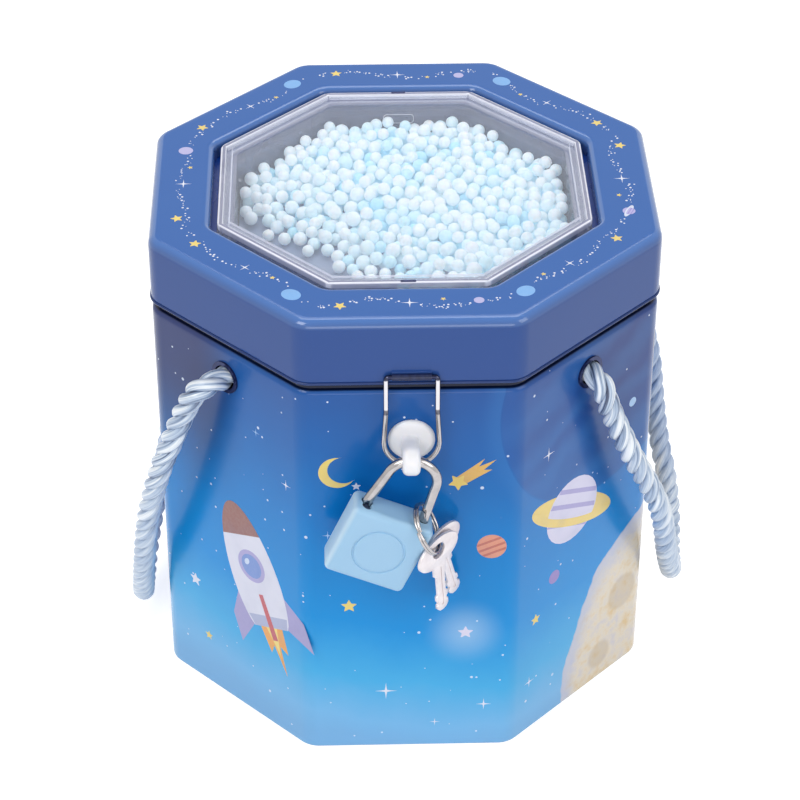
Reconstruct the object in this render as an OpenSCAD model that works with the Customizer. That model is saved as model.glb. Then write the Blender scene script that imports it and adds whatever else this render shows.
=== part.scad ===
// Tin money box: an octagonal hinged tin with a window lid full of foam beads,
// a wire hasp, a small padlock on a plastic staple, a ring of two keys and two rope handles.
// Origin: centre of the octagon on the surface the box stands on.
// X to the right, Y to the back (the hasp is at the front, -Y), Z up. Millimetres.

/* [View] */
// Which sub-part to build

/* [Box] */
// Width of the body across two opposite flat walls
body_w = 149.6; // [120:0.1:180]
// Height of the body's shoulder, where the neck steps in
shoulder_z = 135.9; // [100:0.1:170]
// Thickness of the tin sheet
tin_t = 0.5; // [0.3:0.05:0.8]
// Radius of the body's eight upright corners
corner_r = 8; // [4:0.5:14]
// Step from the body wall in to the neck
neck_step = 1.4; // [1:0.1:2.5]
// Height of the neck above the shoulder
neck_h = 10; // [6:0.5:14]
// Width of the turned-in edge under the body
foot_w = 2.2; // [1.5:0.1:4]
// Thickness of the base plate
base_t = 0.5; // [0.4:0.1:1.5]

/* [Coin slot] */
// Length of the coin slot in the back wall
slot_l = 40; // [28:1:50]
// Height of the coin slot
slot_h = 4.8; // [4.4:0.1:7]
// Height of the slot's middle above the floor
slot_z = 108; // [60:1:116]

/* [Lid] */
// How much wider than the body the lid is, across two opposite flat sides
lid_over = 0.4; // [0.2:0.1:1]
// Height of the skirt's lower edge above the floor
skirt_z = 138; // [110:0.1:160]
// Height of the lid from the skirt's lower edge to its flat top
lid_h = 21.4; // [19:0.1:30]
// Radius of the lid's top edge
lid_edge_r = 2.9; // [1.5:0.1:4]
// How far the curled hem stands out from the skirt
hem_out = 0.35; // [0.2:0.05:0.5]
// Width of the lid's opening across flats
open_w = 114; // [90:0.5:124]
// Radius of the opening's corners
open_r = 5; // [2:0.5:9]
// Radius of the rolled edge of the opening
roll_r = 2.2; // [1.4:0.1:3]
// Depth of the opening's upright wall below the lid's top
roll_h = 5.4; // [4.5:0.1:8]

/* [Window] */
// Gap between the opening's wall and the window's rim
rim_gap = 2; // [1:0.1:4]
// Width of the window's rim
rim_w = 1.8; // [1.2:0.1:3]
// How far the raised pane is set in from the window's edge
pane_in = 1.7; // [1:0.1:3]
// Thickness of the clear pane
pane_t = 1; // [0.8:0.1:1.6]
// Width of the bead tray inside, across flats
tray_w = 100; // [60:0.5:104]
// Radius of the bead tray's corners inside
tray_r = 4; // [2:0.5:8]
// Wall of the bead tray
tray_t = 1.2; // [0.8:0.1:2]
// Depth of the tray's floor below the lid's top
tray_depth = 18.4; // [12:0.1:18.9]
// Thickness of the tray's lower floor
tray_floor = 1; // [0.8:0.1:2]
// Width of the flange that is glued under the rolled edge
flange_w = 6.5; // [4:0.1:9]
// Thickness of that flange
flange_t = 1.6; // [1:0.1:2.5]
// Thickness of the printed liner on the tray's floor
liner_t = 0.4; // [0.2:0.1:0.8]
// Diameter of the smaller foam beads
bead_small = 4.2; // [3.6:0.1:4.4]
// Diameter of the larger foam beads
bead_large = 5; // [4.5:0.1:5.6]
// Distance between bead centres in a layer
bead_pitch = 7.8; // [5.7:0.1:9]

/* [Hinge] */
// Diameter of the hinge pin
pin_d = 1.6; // [1.2:0.1:2.4]
// Distance of the pin's axis behind the lid's back side
pin_out = 1.9; // [1.8:0.1:3]
// Distance of the pin's axis below the skirt's lower edge
pin_below = 1; // [0.8:0.1:2]
// Running clearance round the pin
pin_fit = 0.06; // [0.02:0.01:0.1]
// Width of the whole hinge
hinge_w = 36; // [24:1:60]
// Height of each hinge leaf on its wall
leaf_h = 9; // [6:0.5:12]

/* [Hasp and staple] */
// Place of the hasp and the staple to the right of the middle
front_x = 0.4; // [-2:0.1:2]
// Place of the staple's lug to the right of the box's middle
lug_x = 0; // [-2:0.1:2]
// Diameter of the hasp's wire
wire_d = 1.4; // [1:0.1:2]
// Height of the hasp's pivot above the skirt's lower edge
hasp_up = 3.2; // [2.5:0.1:6]
// Distance of the hasp's pivot in front of the lid
hasp_out = 0.95; // [0.8:0.05:1.4]
// Half of the hasp's width at its pivot, to the middle of the wire
hasp_half = 7.3; // [5:0.1:10]
// Radius of the hasp's round end, to the middle of the wire
hasp_r = 7.95; // [7.9:0.05:10]
// Height of the staple's middle above the floor
staple_z = 119; // [80:0.1:122]
// Diameter of the staple's round plate
staple_d = 13.7; // [10:0.1:14]
// Thickness of the staple's plate
staple_t = 2; // [1.2:0.1:3]
// Width of the staple's lug
lug_w = 5.2; // [3:0.1:7]
// Distance of the lug's hole in front of the body's wall
lug_out = 12; // [8:0.1:13]
// Radius of the lug's round end
lug_r = 4.4; // [4:0.1:4.5]
// Diameter of the lug's hole
lug_hole = 5; // [4.6:0.1:5.2]
// Diameter of the staple's stem through the wall
stem_d = 6; // [4:0.1:9]

/* [Padlock] */
// Width of the padlock's cover
lock_w = 24.6; // [22:0.1:30]
// Height of the padlock's cover
lock_h = 24.2; // [20:0.1:30]
// Thickness of the padlock's cover
lock_t = 10.4; // [9:0.1:12]
// Wall of the plastic cover
cover_t = 0.9; // [0.7:0.1:1.1]
// Radius of the cover's edges
cover_r = 1.9; // [1:0.1:2.5]
// Diameter of the shallow round panel on the cover's front
panel_d = 16; // [10:0.1:17]
// Diameter of the shackle's rod
shackle_d = 2.9; // [2:0.1:3]
// Radius of the shackle's bow, to the middle of the rod
shackle_r = 7.3; // [6:0.1:8]
// Half of the distance between the shackle's legs inside the lock
leg_half = 8.7; // [7.5:0.1:9]
// Height of the middle of the shackle's bow above the cover
shackle_up = 11.25; // [8:0.05:16]
// Length of the long leg inside the lock
heel_in = 12; // [9:0.5:14]
// Length of the short leg inside the lock
toe_in = 4.6; // [3.5:0.1:6]
// Tilt of the hanging padlock, degrees
lock_tilt = 23.8; // [0:0.1:30]
// Diameter of the key plug
plug_d = 6.6; // [5:0.1:7.5]
// Length of the key plug
plug_l = 11; // [8:0.5:14]

/* [Keys] */
// Diameter of the key ring, to the middle of its wire
ring_d = 15; // [14:0.1:18]
// Diameter of the key ring's wire
ring_wire = 0.9; // [0.8:0.1:1.3]
// Length of a key's bow
bow_l = 17.4; // [14:0.1:22]
// Height of a key's bow
bow_h = 10.4; // [9:0.1:13]
// Thickness of a key
key_t = 1; // [1:0.1:1.4]
// Diameter of the hole in a key
key_hole = 5.2; // [4.4:0.1:5.4]
// Length of a key from its hole to its tip
key_l = 23.5; // [18:0.5:26]
// Turn of the hanging keys about the vertical, degrees
key_turn = 48; // [40:1:60]

/* [Rope handles] */
// Diameter of the rope
rope_d = 7; // [5:0.1:7.2]
// Height of the rope's holes above the floor
rope_z = 126; // [60:0.5:126]
// Clearance between the rope and its eyelet
rope_fit = 0.4; // [0.3:0.1:1]
// Thickness of the eyelet's metal
eyelet_t = 0.5; // [0.3:0.1:1]
// Width of the eyelet's flange
eyelet_w = 1.2; // [1:0.1:3]
// Diameter of the knots inside the box
knot_d = 12.5; // [11:0.5:14]
// Length of rope between the wall and its knot
rope_in = 9.75; // [8:0.05:14]

/* [Hidden] */
$fn = 48;
half = body_w / 2;
lid_w = body_w + lid_over;
neck = half - neck_step;
neck_z = shoulder_z + neck_h;
lid = lid_w / 2;
top_z = skirt_z + lid_h;
open_h = open_w / 2;
roll_z = top_z - roll_h;
rim = open_h - rim_gap;
pane = rim - rim_w;
tray = tray_w / 2;
floor_z = top_z - tray_depth;
rim_z = top_z - 0.2;
pane_z = top_z - 1.8;
axis_y = lid + pin_out;
axis_z = skirt_z - pin_below;
knuckle_r = pin_d / 2 + pin_fit + tin_t;
hasp_y = -(lid + hasp_out);
hasp_z = skirt_z + hasp_up;
hasp_low = staple_z + 0.4;
hasp_kink = [hasp_half, -(lid + 2.2), hasp_z - 10.9];
lug_y = -(half + lug_out);
rod = shackle_d / 2;
lug_z = staple_z + 1.2;
bow_z = lug_z - lug_hole / 2 + rod + 0.8 - shackle_r;
lock_top = -shackle_up;
core_w = lock_w - 2 * cover_t - 0.1;
core_t = lock_t - 2 * cover_t - 0.1;
core_top = lock_top - cover_t - 0.05;
core_low = lock_top - lock_h + 0.4;
wire_rr = ring_wire / 2;
ring_c = [4.7, lug_y, bow_z - 17.05];
ring_a = [0.44, 0, -0.9];
ring_b = [-0.09, -1, -0.08];
ring_ub = ring_b / norm(ring_b);
ring_ua = (ring_a - (ring_a * ring_ub) * ring_ub) / norm(ring_a - (ring_a * ring_ub) * ring_ub);
rope_r = rope_d / 2;
eye_r = rope_r + rope_fit;

// The route of each rope outside the walls, for the body's own width and the holes' own height.
left_way = [
  [-53, -53, 126], [-57, -57, 126.5], [-61.4, -57.8, 124],
  [-64.1, -55.8, 118], [-67, -54.2, 110.5], [-70.1, -52.4, 101.5], [-73, -50.8, 93],
  [-75.8, -48.4, 82.5], [-78.1, -45.8, 72], [-79.7, -42.8, 62], [-80.9, -39.1, 51.5],
  [-82, -34.3, 40.5], [-83, -27.8, 29.5], [-83.9, -19.9, 19.6], [-84.6, -10.4, 13],
  [-84.7, 0, 10.6], [-84.2, 10.2, 13], [-82.6, 19.5, 19.6], [-80, 27.6, 29.3],
  [-77.2, 34.4, 40], [-76, 39.6, 51], [-75.9, 43.2, 61.5], [-75.6, 46, 72],
  [-74.6, 48.3, 82.5], [-72.6, 50.6, 93], [-70, 52.4, 101.5], [-67, 54.2, 110.5],
  [-64.1, 55.8, 118], [-61.4, 57.8, 124], [-57, 57, 126.5], [-53, 53, 126],
];
right_way = [
  [53, -53, 126], [56, -57, 124.5], [57.8, -57, 119],
  [60.4, -54.5, 111], [64, -52.8, 101.8], [67.8, -50.7, 92.5], [71.5, -49, 84.6],
  [75, -47, 76.4], [77.8, -44.5, 68], [79.8, -41.3, 58.6], [81.4, -37, 48.7],
  [83.2, -31.5, 38.8], [85.2, -24.5, 29.5], [86.9, -15.5, 21.5], [88.1, -6, 16.8],
  [89.1, 4, 16.2], [89.9, 12, 18.6], [90, 19, 23.2], [89.2, 25, 29.4],
  [87.5, 30, 36.7], [86.1, 34.8, 45.5], [85.1, 39.5, 55], [84, 43, 64.5],
  [81.6, 46.5, 74.5], [78.1, 49.5, 85], [73.5, 52.5, 96], [68.3, 55.5, 106.5],
  [63.1, 57.8, 116.5], [59.5, 58.5, 122.5], [56.5, 56.5, 125.8], [53, 53, 126],
];

// A route fitted to the body's width and the holes' height, with its ends at the knots inside.
function fitted(way, side) = let (k = half / 74.8, e = (half - rope_in) / sqrt(2)) concat(
  [[side * e, -e, rope_z]],
  [for (p = way) [p[0] * k, p[1] * k, p[2] + rope_z - 126]],
  [[side * e, e, rope_z]]
);
left_route = fitted(left_way, -1);
right_route = fitted(right_way, 1);

tin_blue = [0.27, 0.42, 0.68];
steel = [0.78, 0.79, 0.8];
clear = [0.8, 0.86, 0.92, 0.5];
lock_blue = [0.68, 0.83, 0.92];

// ---- shared shapes ----

// Points of a ring with eight flat sides, half = distance of a side from the middle.
function ring8(half, r, z, n = 4) = [
  for (k = [0:7], i = [0:n])
    let (a = 45 * k + 45 * i / n, m = 45 * k + 22.5, c = (half - r) / cos(22.5))
      [c * cos(m) + r * cos(a), c * sin(m) + r * sin(a), z]
];

// A closed band with eight sides: each step of the outline is [half, corner radius, height].
module band8(outline) {
  n = len(outline);
  m = len(ring8(10, 1, 0));
  polyhedron(
    points = [for (p = outline) each ring8(p[0], p[1], p[2])],
    faces = [
      for (i = [0:n - 1], j = [0:m - 1])
        let (a = i * m + j, b = i * m + (j + 1) % m,
             c = ((i + 1) % n) * m + j, d = ((i + 1) % n) * m + (j + 1) % m)
          each [[a, c, b], [b, c, d]]
    ]
  );
}

// A flat plate with eight sides.
module plate8(half, r, z, t) {
  translate([0, 0, z])
    linear_extrude(t)
      polygon([for (p = ring8(half, r, 0)) [p[0], p[1]]]);
}

// A round rod between two points.
module rod_between(p, q, r) {
  d = q - p;
  l = norm(d);
  translate(p)
    rotate([0, acos(d[2] / l), atan2(d[1], d[0])])
      cylinder(r = r, h = l);
}

module ball(p, r) {
  translate(p) sphere(r = r);
}

// Puts a shape on one of the four slanted walls, with its Z axis pointing out of the wall.
module on_slant(turn) {
  rotate([0, 0, turn])
    translate([half, 0, rope_z])
      rotate([0, 90, 0])
        children();
}

// The frame of the hanging padlock: X across it, Y through it, Z up its legs.
module in_lock() {
  translate([lug_x, lug_y, bow_z])
    rotate([0, lock_tilt, 0])
      children();
}

function cross_unit(a, b) = let (c = cross(a, b)) c / norm(c);

// A tube along a route, with ten sides.
module tube(route, r) {
  n = len(route);
  s = 10;
  dirs = [
    for (i = [0:n - 1])
      let (d = route[min(i + 1, n - 1)] - route[max(i - 1, 0)]) d / norm(d)
  ];
  rings = [
    for (i = [0:n - 1])
      let (u = cross_unit(dirs[i], [0.31, 0.02, 0.95]), v = cross(dirs[i], u))
        [for (k = [0:s - 1]) route[i] + r * (cos(36 * k) * u + sin(36 * k) * v)]
  ];
  polyhedron(
    points = [for (ring = rings) each ring],
    faces = concat(
      [[for (k = [0:s - 1]) k]],
      [
        for (i = [0:n - 2], k = [0:s - 1])
          let (a = i * s + k, b = i * s + (k + 1) % s)
            each [[a, a + s, b], [b, a + s, b + s]]
      ],
      [[for (k = [s - 1:-1:0]) (n - 1) * s + k]]
    )
  );
}

// ---- the box ----

module body_shell() {
  t = tin_t;
  r = corner_r;
  color(tin_blue)
    difference() {
      band8([
        [half - foot_w, r - foot_w, 0],
        [half - 1.2, r - 1.2, 0],
        [half - 0.35, r - 0.35, 0.35],
        [half, r, 1.2],
        [half, r, shoulder_z - 2.3],
        [half - 0.3, r - 0.3, shoulder_z - 1.2],
        [half - 0.8, r - 0.8, shoulder_z - 0.4],
        [neck, r - neck_step, shoulder_z],
        [neck, r - neck_step, neck_z - 0.5],
        [neck - 0.3, r - neck_step - 0.3, neck_z],
        [neck - 0.9, r - neck_step - 0.9, neck_z],
        [neck - 1.2, r - neck_step - 1.2, neck_z - 0.5],
        [neck - 1.2, r - neck_step - 1.2, neck_z - 1.4],
        [neck - t, r - neck_step - t, neck_z - 1.4],
        [neck - t, r - neck_step - t, shoulder_z - t],
        [half - 0.8 - t, r - 0.8 - t, shoulder_z - 0.9],
        [half - t, r - t, shoulder_z - 2.4],
        [half - t, r - t, 1.3],
        [half - 1.2, r - 1.2, 0.5],
        [half - foot_w, r - foot_w, 0.5],
      ]);
      for (turn = [45:90:315])
        on_slant(turn) translate([0, 0, -6]) cylinder(r = eye_r + eyelet_t + 0.1, h = 12);
      translate([front_x, -half, staple_z])
        rotate([90, 0, 0])
          translate([0, 0, -4]) cylinder(d = stem_d + 0.2, h = 8);
      coin_gap();
    }
}

// The coin slot: a long hole with round ends.
module coin_gap() {
  e = (slot_l - slot_h) / 2;
  translate([-e, half - 4, slot_z - slot_h / 2]) cube([2 * e, 8, slot_h]);
  for (x = [-e, e])
    translate([x, half + 4, slot_z]) rotate([90, 0, 0]) cylinder(d = slot_h, h = 8);
}

module base_plate() {
  gap = foot_w + 0.3;
  color([0.75, 0.77, 0.8]) {
    plate8(half - gap, corner_r - gap, 0, 0.5);
    plate8(half - 1.4, corner_r - 1.4, 0.5, base_t);
  }
}

module staple() {
  color([0.94, 0.94, 0.93])
    difference() {
      union() {
        translate([front_x, 0, staple_z]) {
          translate([0, -half, 0]) rotate([90, 0, 0]) cylinder(d = staple_d, h = staple_t - 0.5);
          translate([0, -half - staple_t + 0.5, 0])
            rotate([90, 0, 0])
              cylinder(d1 = staple_d, d2 = staple_d - 1.6, h = 0.5);
          translate([0, -half + tin_t + 3, 0]) rotate([90, 0, 0]) cylinder(d = stem_d, h = tin_t + 4);
        }
        translate([lug_x - lug_w / 2, lug_y, lug_z]) {
          translate([0, 0, -lug_r]) cube([lug_w, lug_out - 0.5, 2 * lug_r]);
          rotate([0, 90, 0]) cylinder(r = lug_r, h = lug_w);
        }
      }
      translate([lug_x - lug_w, lug_y, lug_z])
        rotate([0, 90, 0]) cylinder(d = lug_hole, h = 2 * lug_w);
    }
}

module staple_washer() {
  color(steel)
    translate([front_x, -half + tin_t + 1, staple_z])
      rotate([90, 0, 0])
        difference() {
          cylinder(d = stem_d + 6, h = 1);
          translate([0, 0, -1]) cylinder(d = stem_d + 0.06, h = 3);
        }
}

module rope_eyelets() {
  color([0.45, 0.46, 0.48])
    for (turn = [45:90:315])
      on_slant(turn)
        difference() {
          union() {
            translate([0, 0, -tin_t - 1.6]) cylinder(r = eye_r + eyelet_t, h = tin_t + 2.2);
            cylinder(r = eye_r + eyelet_w, h = 0.6);
            translate([0, 0, -tin_t - 0.6]) cylinder(r = eye_r + eyelet_w, h = 0.6);
          }
          translate([0, 0, -5]) cylinder(r = eye_r, h = 10);
        }
}

module rope_knots() {
  color([0.6, 0.68, 0.78])
    for (turn = [45:90:315])
      on_slant(turn) translate([0, 0, 0.3 - rope_in - knot_d / 2]) sphere(d = knot_d);
}

module left_rope() {
  color([0.6, 0.67, 0.77]) tube(left_route, rope_r);
}

module right_rope() {
  color([0.6, 0.67, 0.77]) tube(right_route, rope_r);
}

// ---- the hinge at the back ----

module knuckle(x0, l) {
  translate([x0, axis_y, axis_z]) rotate([0, 90, 0]) cylinder(r = knuckle_r, h = l);
}

module pin_bore() {
  translate([-hinge_w, axis_y, axis_z])
    rotate([0, 90, 0])
      cylinder(d = pin_d + 2 * pin_fit, h = 2 * hinge_w);
}

module body_hinge_leaf() {
  l = hinge_w / 3 - 0.3;
  color(steel)
    difference() {
      union() {
        for (x = [-hinge_w / 2, hinge_w / 2 - l]) {
          knuckle(x, l);
          translate([x, half, axis_z - 2.4])
            cube([l, axis_y - half, 2.4 - pin_d / 2 - pin_fit]);
        }
        translate([-hinge_w / 2, half, axis_z - leaf_h])
          cube([hinge_w, tin_t, leaf_h - 2.2]);
      }
      pin_bore();
    }
}

module lid_hinge_leaf() {
  l = hinge_w / 3 - 0.3;
  color(steel)
    difference() {
      union() {
        knuckle(-l / 2, l);
        translate([-l / 2, lid + hem_out + 0.1, axis_z])
          cube([l, tin_t, leaf_h]);
        translate([-l / 2, lid, axis_z + leaf_h - 5])
          cube([l, hem_out + 0.2, 5]);
      }
      pin_bore();
    }
}

module hinge_pin() {
  color([0.7, 0.7, 0.72]) {
    translate([-hinge_w / 2 - 0.4, axis_y, axis_z])
      rotate([0, 90, 0])
        cylinder(d = pin_d, h = hinge_w + 0.8);
    for (x = [-hinge_w / 2 - 1, hinge_w / 2 + 0.2])
      translate([x, axis_y, axis_z]) rotate([0, 90, 0]) cylinder(d = pin_d + 1, h = 0.8);
  }
}

// ---- the lid ----

module lid_shell() {
  t = tin_t;
  e = lid_edge_r;
  r = corner_r;
  w = roll_r;
  color(tin_blue)
    band8([
      [lid - t + 0.1, r - t + 0.1, skirt_z],
      [lid, r, skirt_z],
      [lid + hem_out, r + hem_out, skirt_z + 0.35],
      [lid + hem_out, r + hem_out, skirt_z + 0.95],
      [lid, r, skirt_z + 1.4],
      [lid, r, top_z - e],
      [lid - e * 0.134, r - e * 0.134, top_z - e * 0.5],
      [lid - e * 0.5, r - e * 0.5, top_z - e * 0.134],
      [lid - e, r - e, top_z],
      [open_h + w, open_r + w, top_z],
      [open_h + w * 0.5, open_r + w * 0.5, top_z - w * 0.134],
      [open_h + w * 0.134, open_r + w * 0.134, top_z - w * 0.5],
      [open_h, open_r, top_z - w],
      [open_h, open_r, roll_z],
      [open_h + t, open_r + t, roll_z],
      [open_h + t, open_r + t, top_z - w],
      [open_h + t + (w - t) * 0.134, open_r + t, top_z - t - (w - t) * 0.5],
      [open_h + w, open_r + w, top_z - t],
      [lid - e, r - e, top_z - t],
      [lid - t - (e - t) * 0.5, r - t - (e - t) * 0.5, top_z - t - (e - t) * 0.134],
      [lid - t - (e - t) * 0.134, r - t - (e - t) * 0.134, top_z - t - (e - t) * 0.5],
      [lid - t, r - t, top_z - e],
      [lid - t, r - t, skirt_z + 0.4],
    ]);
}

// The strap pressed out of the skirt, which holds the hasp's wire.
module hasp_strap() {
  l = 2 * hasp_half - wire_d - 1;
  color(tin_blue)
    translate([front_x, 0, 0])
      difference() {
        union() {
          translate([-l / 2, hasp_y, hasp_z])
            rotate([0, 90, 0]) cylinder(r = wire_d / 2 + 0.08 + tin_t, h = l);
          translate([-l / 2, -lid - tin_t, hasp_z - 1.7]) cube([l, tin_t, 3.4]);
        }
        translate([-l, hasp_y, hasp_z]) rotate([0, 90, 0]) cylinder(d = wire_d + 0.16, h = 2 * l);
        translate([-l, -lid, hasp_z - 4]) cube([2 * l, 8, 8]);
      }
}

module bead_tray() {
  color(clear) {
    difference() {
      band8([
        [tray, tray_r, floor_z - tray_floor],
        [tray + tray_t, tray_r + tray_t, floor_z - tray_floor],
        [tray + tray_t, tray_r + tray_t, roll_z - flange_t],
        [rim + flange_w, open_r + 3, roll_z - flange_t],
        [rim + flange_w, open_r + 3, roll_z],
        [rim, open_r - 1, roll_z],
        [rim, open_r - 1, rim_z],
        [rim - rim_w + 0.2, open_r - 2, rim_z],
        [rim - rim_w + 0.2, open_r - 2, pane_z - 0.1],
        [tray, tray_r, pane_z - 0.1],
      ]);
      for (s = [-1, 1])
        translate([-2.2, s * (rim - rim_w / 2 + 0.1) - 0.4, rim_z - 1]) cube([4.4, 0.8, 2]);
    }
    plate8(tray + tray_t / 2, tray_r, floor_z - tray_floor, tray_floor);
  }
}

module tray_liner() {
  color([0.52, 0.62, 0.75]) plate8(tray - 0.3, tray_r, floor_z, liner_t);
}

module window_pane() {
  color(clear) {
    plate8(pane, open_r - 2, pane_z, pane_t);
    plate8(pane - pane_in, open_r - 3, pane_z + pane_t - 0.2, 0.9);
    band8([
      [tray - 1.3, tray_r - 1, pane_z - 2],
      [tray - 0.2, tray_r - 0.2, pane_z - 2],
      [tray - 0.2, tray_r - 0.2, pane_z + 0.2],
      [tray - 1.3, tray_r - 1, pane_z + 0.2],
    ]);
  }
}

// True where a bead of a layer fits inside the eight-sided tray, clear of the rib.
function in_tray(x, y, m) = max(abs(x), abs(y), (abs(x) + abs(y)) / sqrt(2)) < tray - m;

module foam_beads() {
  z = floor_z + liner_t;
  color([0.9, 0.94, 0.98]) {
    for (i = [-8:8], j = [-9:9])
      let (x = (i + (abs(j) % 2) / 2) * bead_pitch, y = j * bead_pitch * 0.87)
        if (in_tray(x, y, 3.4) && x - y > -30)
          ball([x, y, z + bead_large / 2 + 0.05], (i + j) % 3 == 0 ? bead_large / 2 : bead_small / 2);
    for (i = [-6:6], j = [-7:2])
      let (x = (i + (abs(j) % 2) / 2 + 0.5) * bead_pitch, y = (j + 0.66) * bead_pitch * 0.87)
        if (in_tray(x, y, 5) && x - y > 8)
          ball([x, y, z + bead_large / 2 + 3.3], bead_small / 2);
  }
}

// ---- the hasp ----

module hasp_wire() {
  r = wire_d / 2;
  low_y = hasp_kink[1];
  color([0.75, 0.76, 0.78])
    translate([front_x, 0, 0]) {
      rod_between([-hasp_half, hasp_y, hasp_z], [hasp_half, hasp_y, hasp_z], r);
      for (s = [-1, 1]) {
        ball([s * hasp_half, hasp_y, hasp_z], r + 0.04);
        rod_between([s * hasp_half, hasp_y, hasp_z], [s * hasp_half, low_y, hasp_kink[2]], r);
        ball([s * hasp_half, low_y, hasp_kink[2]], r + 0.04);
        rod_between([s * hasp_half, low_y, hasp_kink[2]], [s * hasp_r, low_y, hasp_low], r);
        ball([s * hasp_r, low_y, hasp_low], r + 0.04);
      }
      translate([0, low_y, hasp_low])
        rotate([90, 0, 0])
          rotate([0, 0, 180])
            rotate_extrude(angle = 180)
              translate([hasp_r, 0]) circle(r = r);
    }
}

// ---- the padlock ----

module padlock_shackle() {
  color(steel)
    in_lock() {
      rotate([90, 0, 0])
        rotate_extrude(angle = 180)
          translate([shackle_r, 0]) circle(r = rod);
      for (s = [-1, 1]) {
        ball([s * shackle_r, 0, 0], rod + 0.04);
        rod_between([s * shackle_r, 0, 0], [s * leg_half, 0, lock_top + 1], rod);
        ball([s * leg_half, 0, lock_top + 1], rod + 0.04);
      }
      translate([leg_half, 0, lock_top - heel_in]) cylinder(r = rod, h = heel_in + 1);
      translate([-leg_half, 0, lock_top - toe_in]) cylinder(r = rod, h = toe_in + 1);
    }
}

module padlock_cover() {
  r = cover_r;
  x = lock_w / 2 - r;
  y = lock_t / 2 - r;
  color(lock_blue)
    in_lock()
      difference() {
        hull()
          for (sx = [-1, 1], sy = [-1, 1], z = [lock_top - r, lock_top - lock_h + r])
            translate([sx * x, sy * y, z]) sphere(r = r, $fn = 24);
        translate([-core_w / 2 - 0.05, -core_t / 2 - 0.05, lock_top - lock_h - 1])
          cube([core_w + 0.1, core_t + 0.1, lock_h + 1 - cover_t]);
        translate([0, -lock_t / 2 + 0.35, lock_top - lock_h / 2])
          rotate([90, 0, 0])
            difference() {
              cylinder(d = panel_d, h = 2);
              translate([0, 0, -1]) cylinder(d = panel_d - 1, h = 4);
            }
        translate([leg_half, 0, lock_top - 3]) cylinder(r = rod + 0.2, h = 6);
        translate([-leg_half, 0, lock_top - 3]) cylinder(r = rod + 0.3, h = 6);
        translate([-leg_half, -1.9, lock_top - 3]) cylinder(r = rod, h = 6);
      }
}

module padlock_core() {
  h = core_top - core_low;
  color([0.55, 0.56, 0.58])
    in_lock()
      difference() {
        translate([-core_w / 2, -core_t / 2, core_low]) cube([core_w, core_t, h]);
        translate([leg_half, 0, lock_top - heel_in - 1.5]) cylinder(r = rod + 0.08, h = heel_in + 6);
        translate([-leg_half, 0, lock_top - toe_in - 1.5]) cylinder(r = rod + 0.08, h = toe_in + 6);
        translate([leg_half, 0, lock_top - heel_in - 5.5]) cylinder(r = rod - 0.1, h = 6);
        translate([0, 0, core_low - 1]) cylinder(r = plug_d / 2 + 0.06, h = plug_l + 1.2);
      }
}

module shackle_spring() {
  color([0.65, 0.65, 0.66])
    in_lock()
      translate([leg_half, 0, lock_top - heel_in - 5.45])
        difference() {
          cylinder(r = rod - 0.2, h = 5.3);
          translate([0, 0, -1]) cylinder(r = rod - 0.6, h = 8);
        }
}

module key_plug() {
  color([0.72, 0.66, 0.5])
    in_lock()
      difference() {
        translate([0, 0, core_low]) cylinder(d = plug_d, h = plug_l);
        translate([-0.8, -2.2, core_low - 1]) cube([1.6, 4.4, plug_l - 1]);
      }
}

// ---- the ring and the keys ----

// Places a shape in the key ring's plane, with its Z axis along the ring's own axis.
module in_ring() {
  c = cross(ring_ua, ring_ub);
  translate([lug_x, 0, 0])
    multmatrix([
      [ring_ua[0], ring_ub[0], c[0], ring_c[0]],
      [ring_ua[1], ring_ub[1], c[1], ring_c[1]],
      [ring_ua[2], ring_ub[2], c[2], ring_c[2]],
      [0, 0, 0, 1],
    ])
      children();
}

module split_ring() {
  color(steel)
    in_ring()
      for (s = [-1, 1])
        translate([0, 0, s * ring_wire * 0.45])
          rotate_extrude()
            translate([ring_d / 2, 0]) circle(r = wire_rr);
}

// A key, with its hole at the origin, its blade down -Z and its flat sides along Y.
module key_shape() {
  rotate([90, 0, 0])
    translate([0, 0, -key_t / 2])
      difference() {
        union() {
          translate([0, -0.6, 0]) scale([bow_l / bow_h, 1, 1]) cylinder(d = bow_h, h = key_t);
          translate([-1.7, -key_l, 0]) cube([3.4, key_l - 4, key_t]);
          translate([-2.6, -9, 0]) cube([5.2, 4, key_t]);
          for (y = [-key_l + 1.4, -key_l + 4.8])
            translate([-2.4, y, 0]) cube([4.8, 1.8, key_t]);
        }
        translate([0, 0, -1]) cylinder(d = key_hole, h = key_t + 2);
      }
}

// A point in the middle of the key ring's wire.
function ring_point(at) =
  ring_c + [lug_x, 0, 0] + ring_d / 2 * (cos(at) * ring_ua + sin(at) * ring_ub);

// Hangs a key on the ring: at = place round the ring, drop and shift = how far its hole's middle is
// below and beside the wire, lean = turn in the key's own plane.
module hang_key(at, drop, shift, lean) {
  translate(ring_point(at) + [shift * cos(key_turn), shift * sin(key_turn), -drop])
    rotate([0, 0, key_turn])
      rotate([0, lean, 0])
        key_shape();
}

module key_one() {
  color([0.8, 0.79, 0.77]) hang_key(6, 0.6, -0.3, -6);
}

module key_two() {
  color([0.8, 0.79, 0.77]) hang_key(-15, 0.9, 0.6, -18);
}

body_shell();
base_plate();
staple();
staple_washer();
rope_eyelets();
rope_knots();
left_rope();
right_rope();
body_hinge_leaf();
hinge_pin();
lid_hinge_leaf();
lid_shell();
hasp_strap();
bead_tray();
tray_liner();
foam_beads();
window_pane();
hasp_wire();
padlock_shackle();
padlock_cover();
padlock_core();
shackle_spring();
key_plug();
split_ring();
key_one();
key_two();
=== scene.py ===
"""Looks of the tin money box: printed tin, bead window, wire hasp, padlock, keys and rope handles."""

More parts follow.
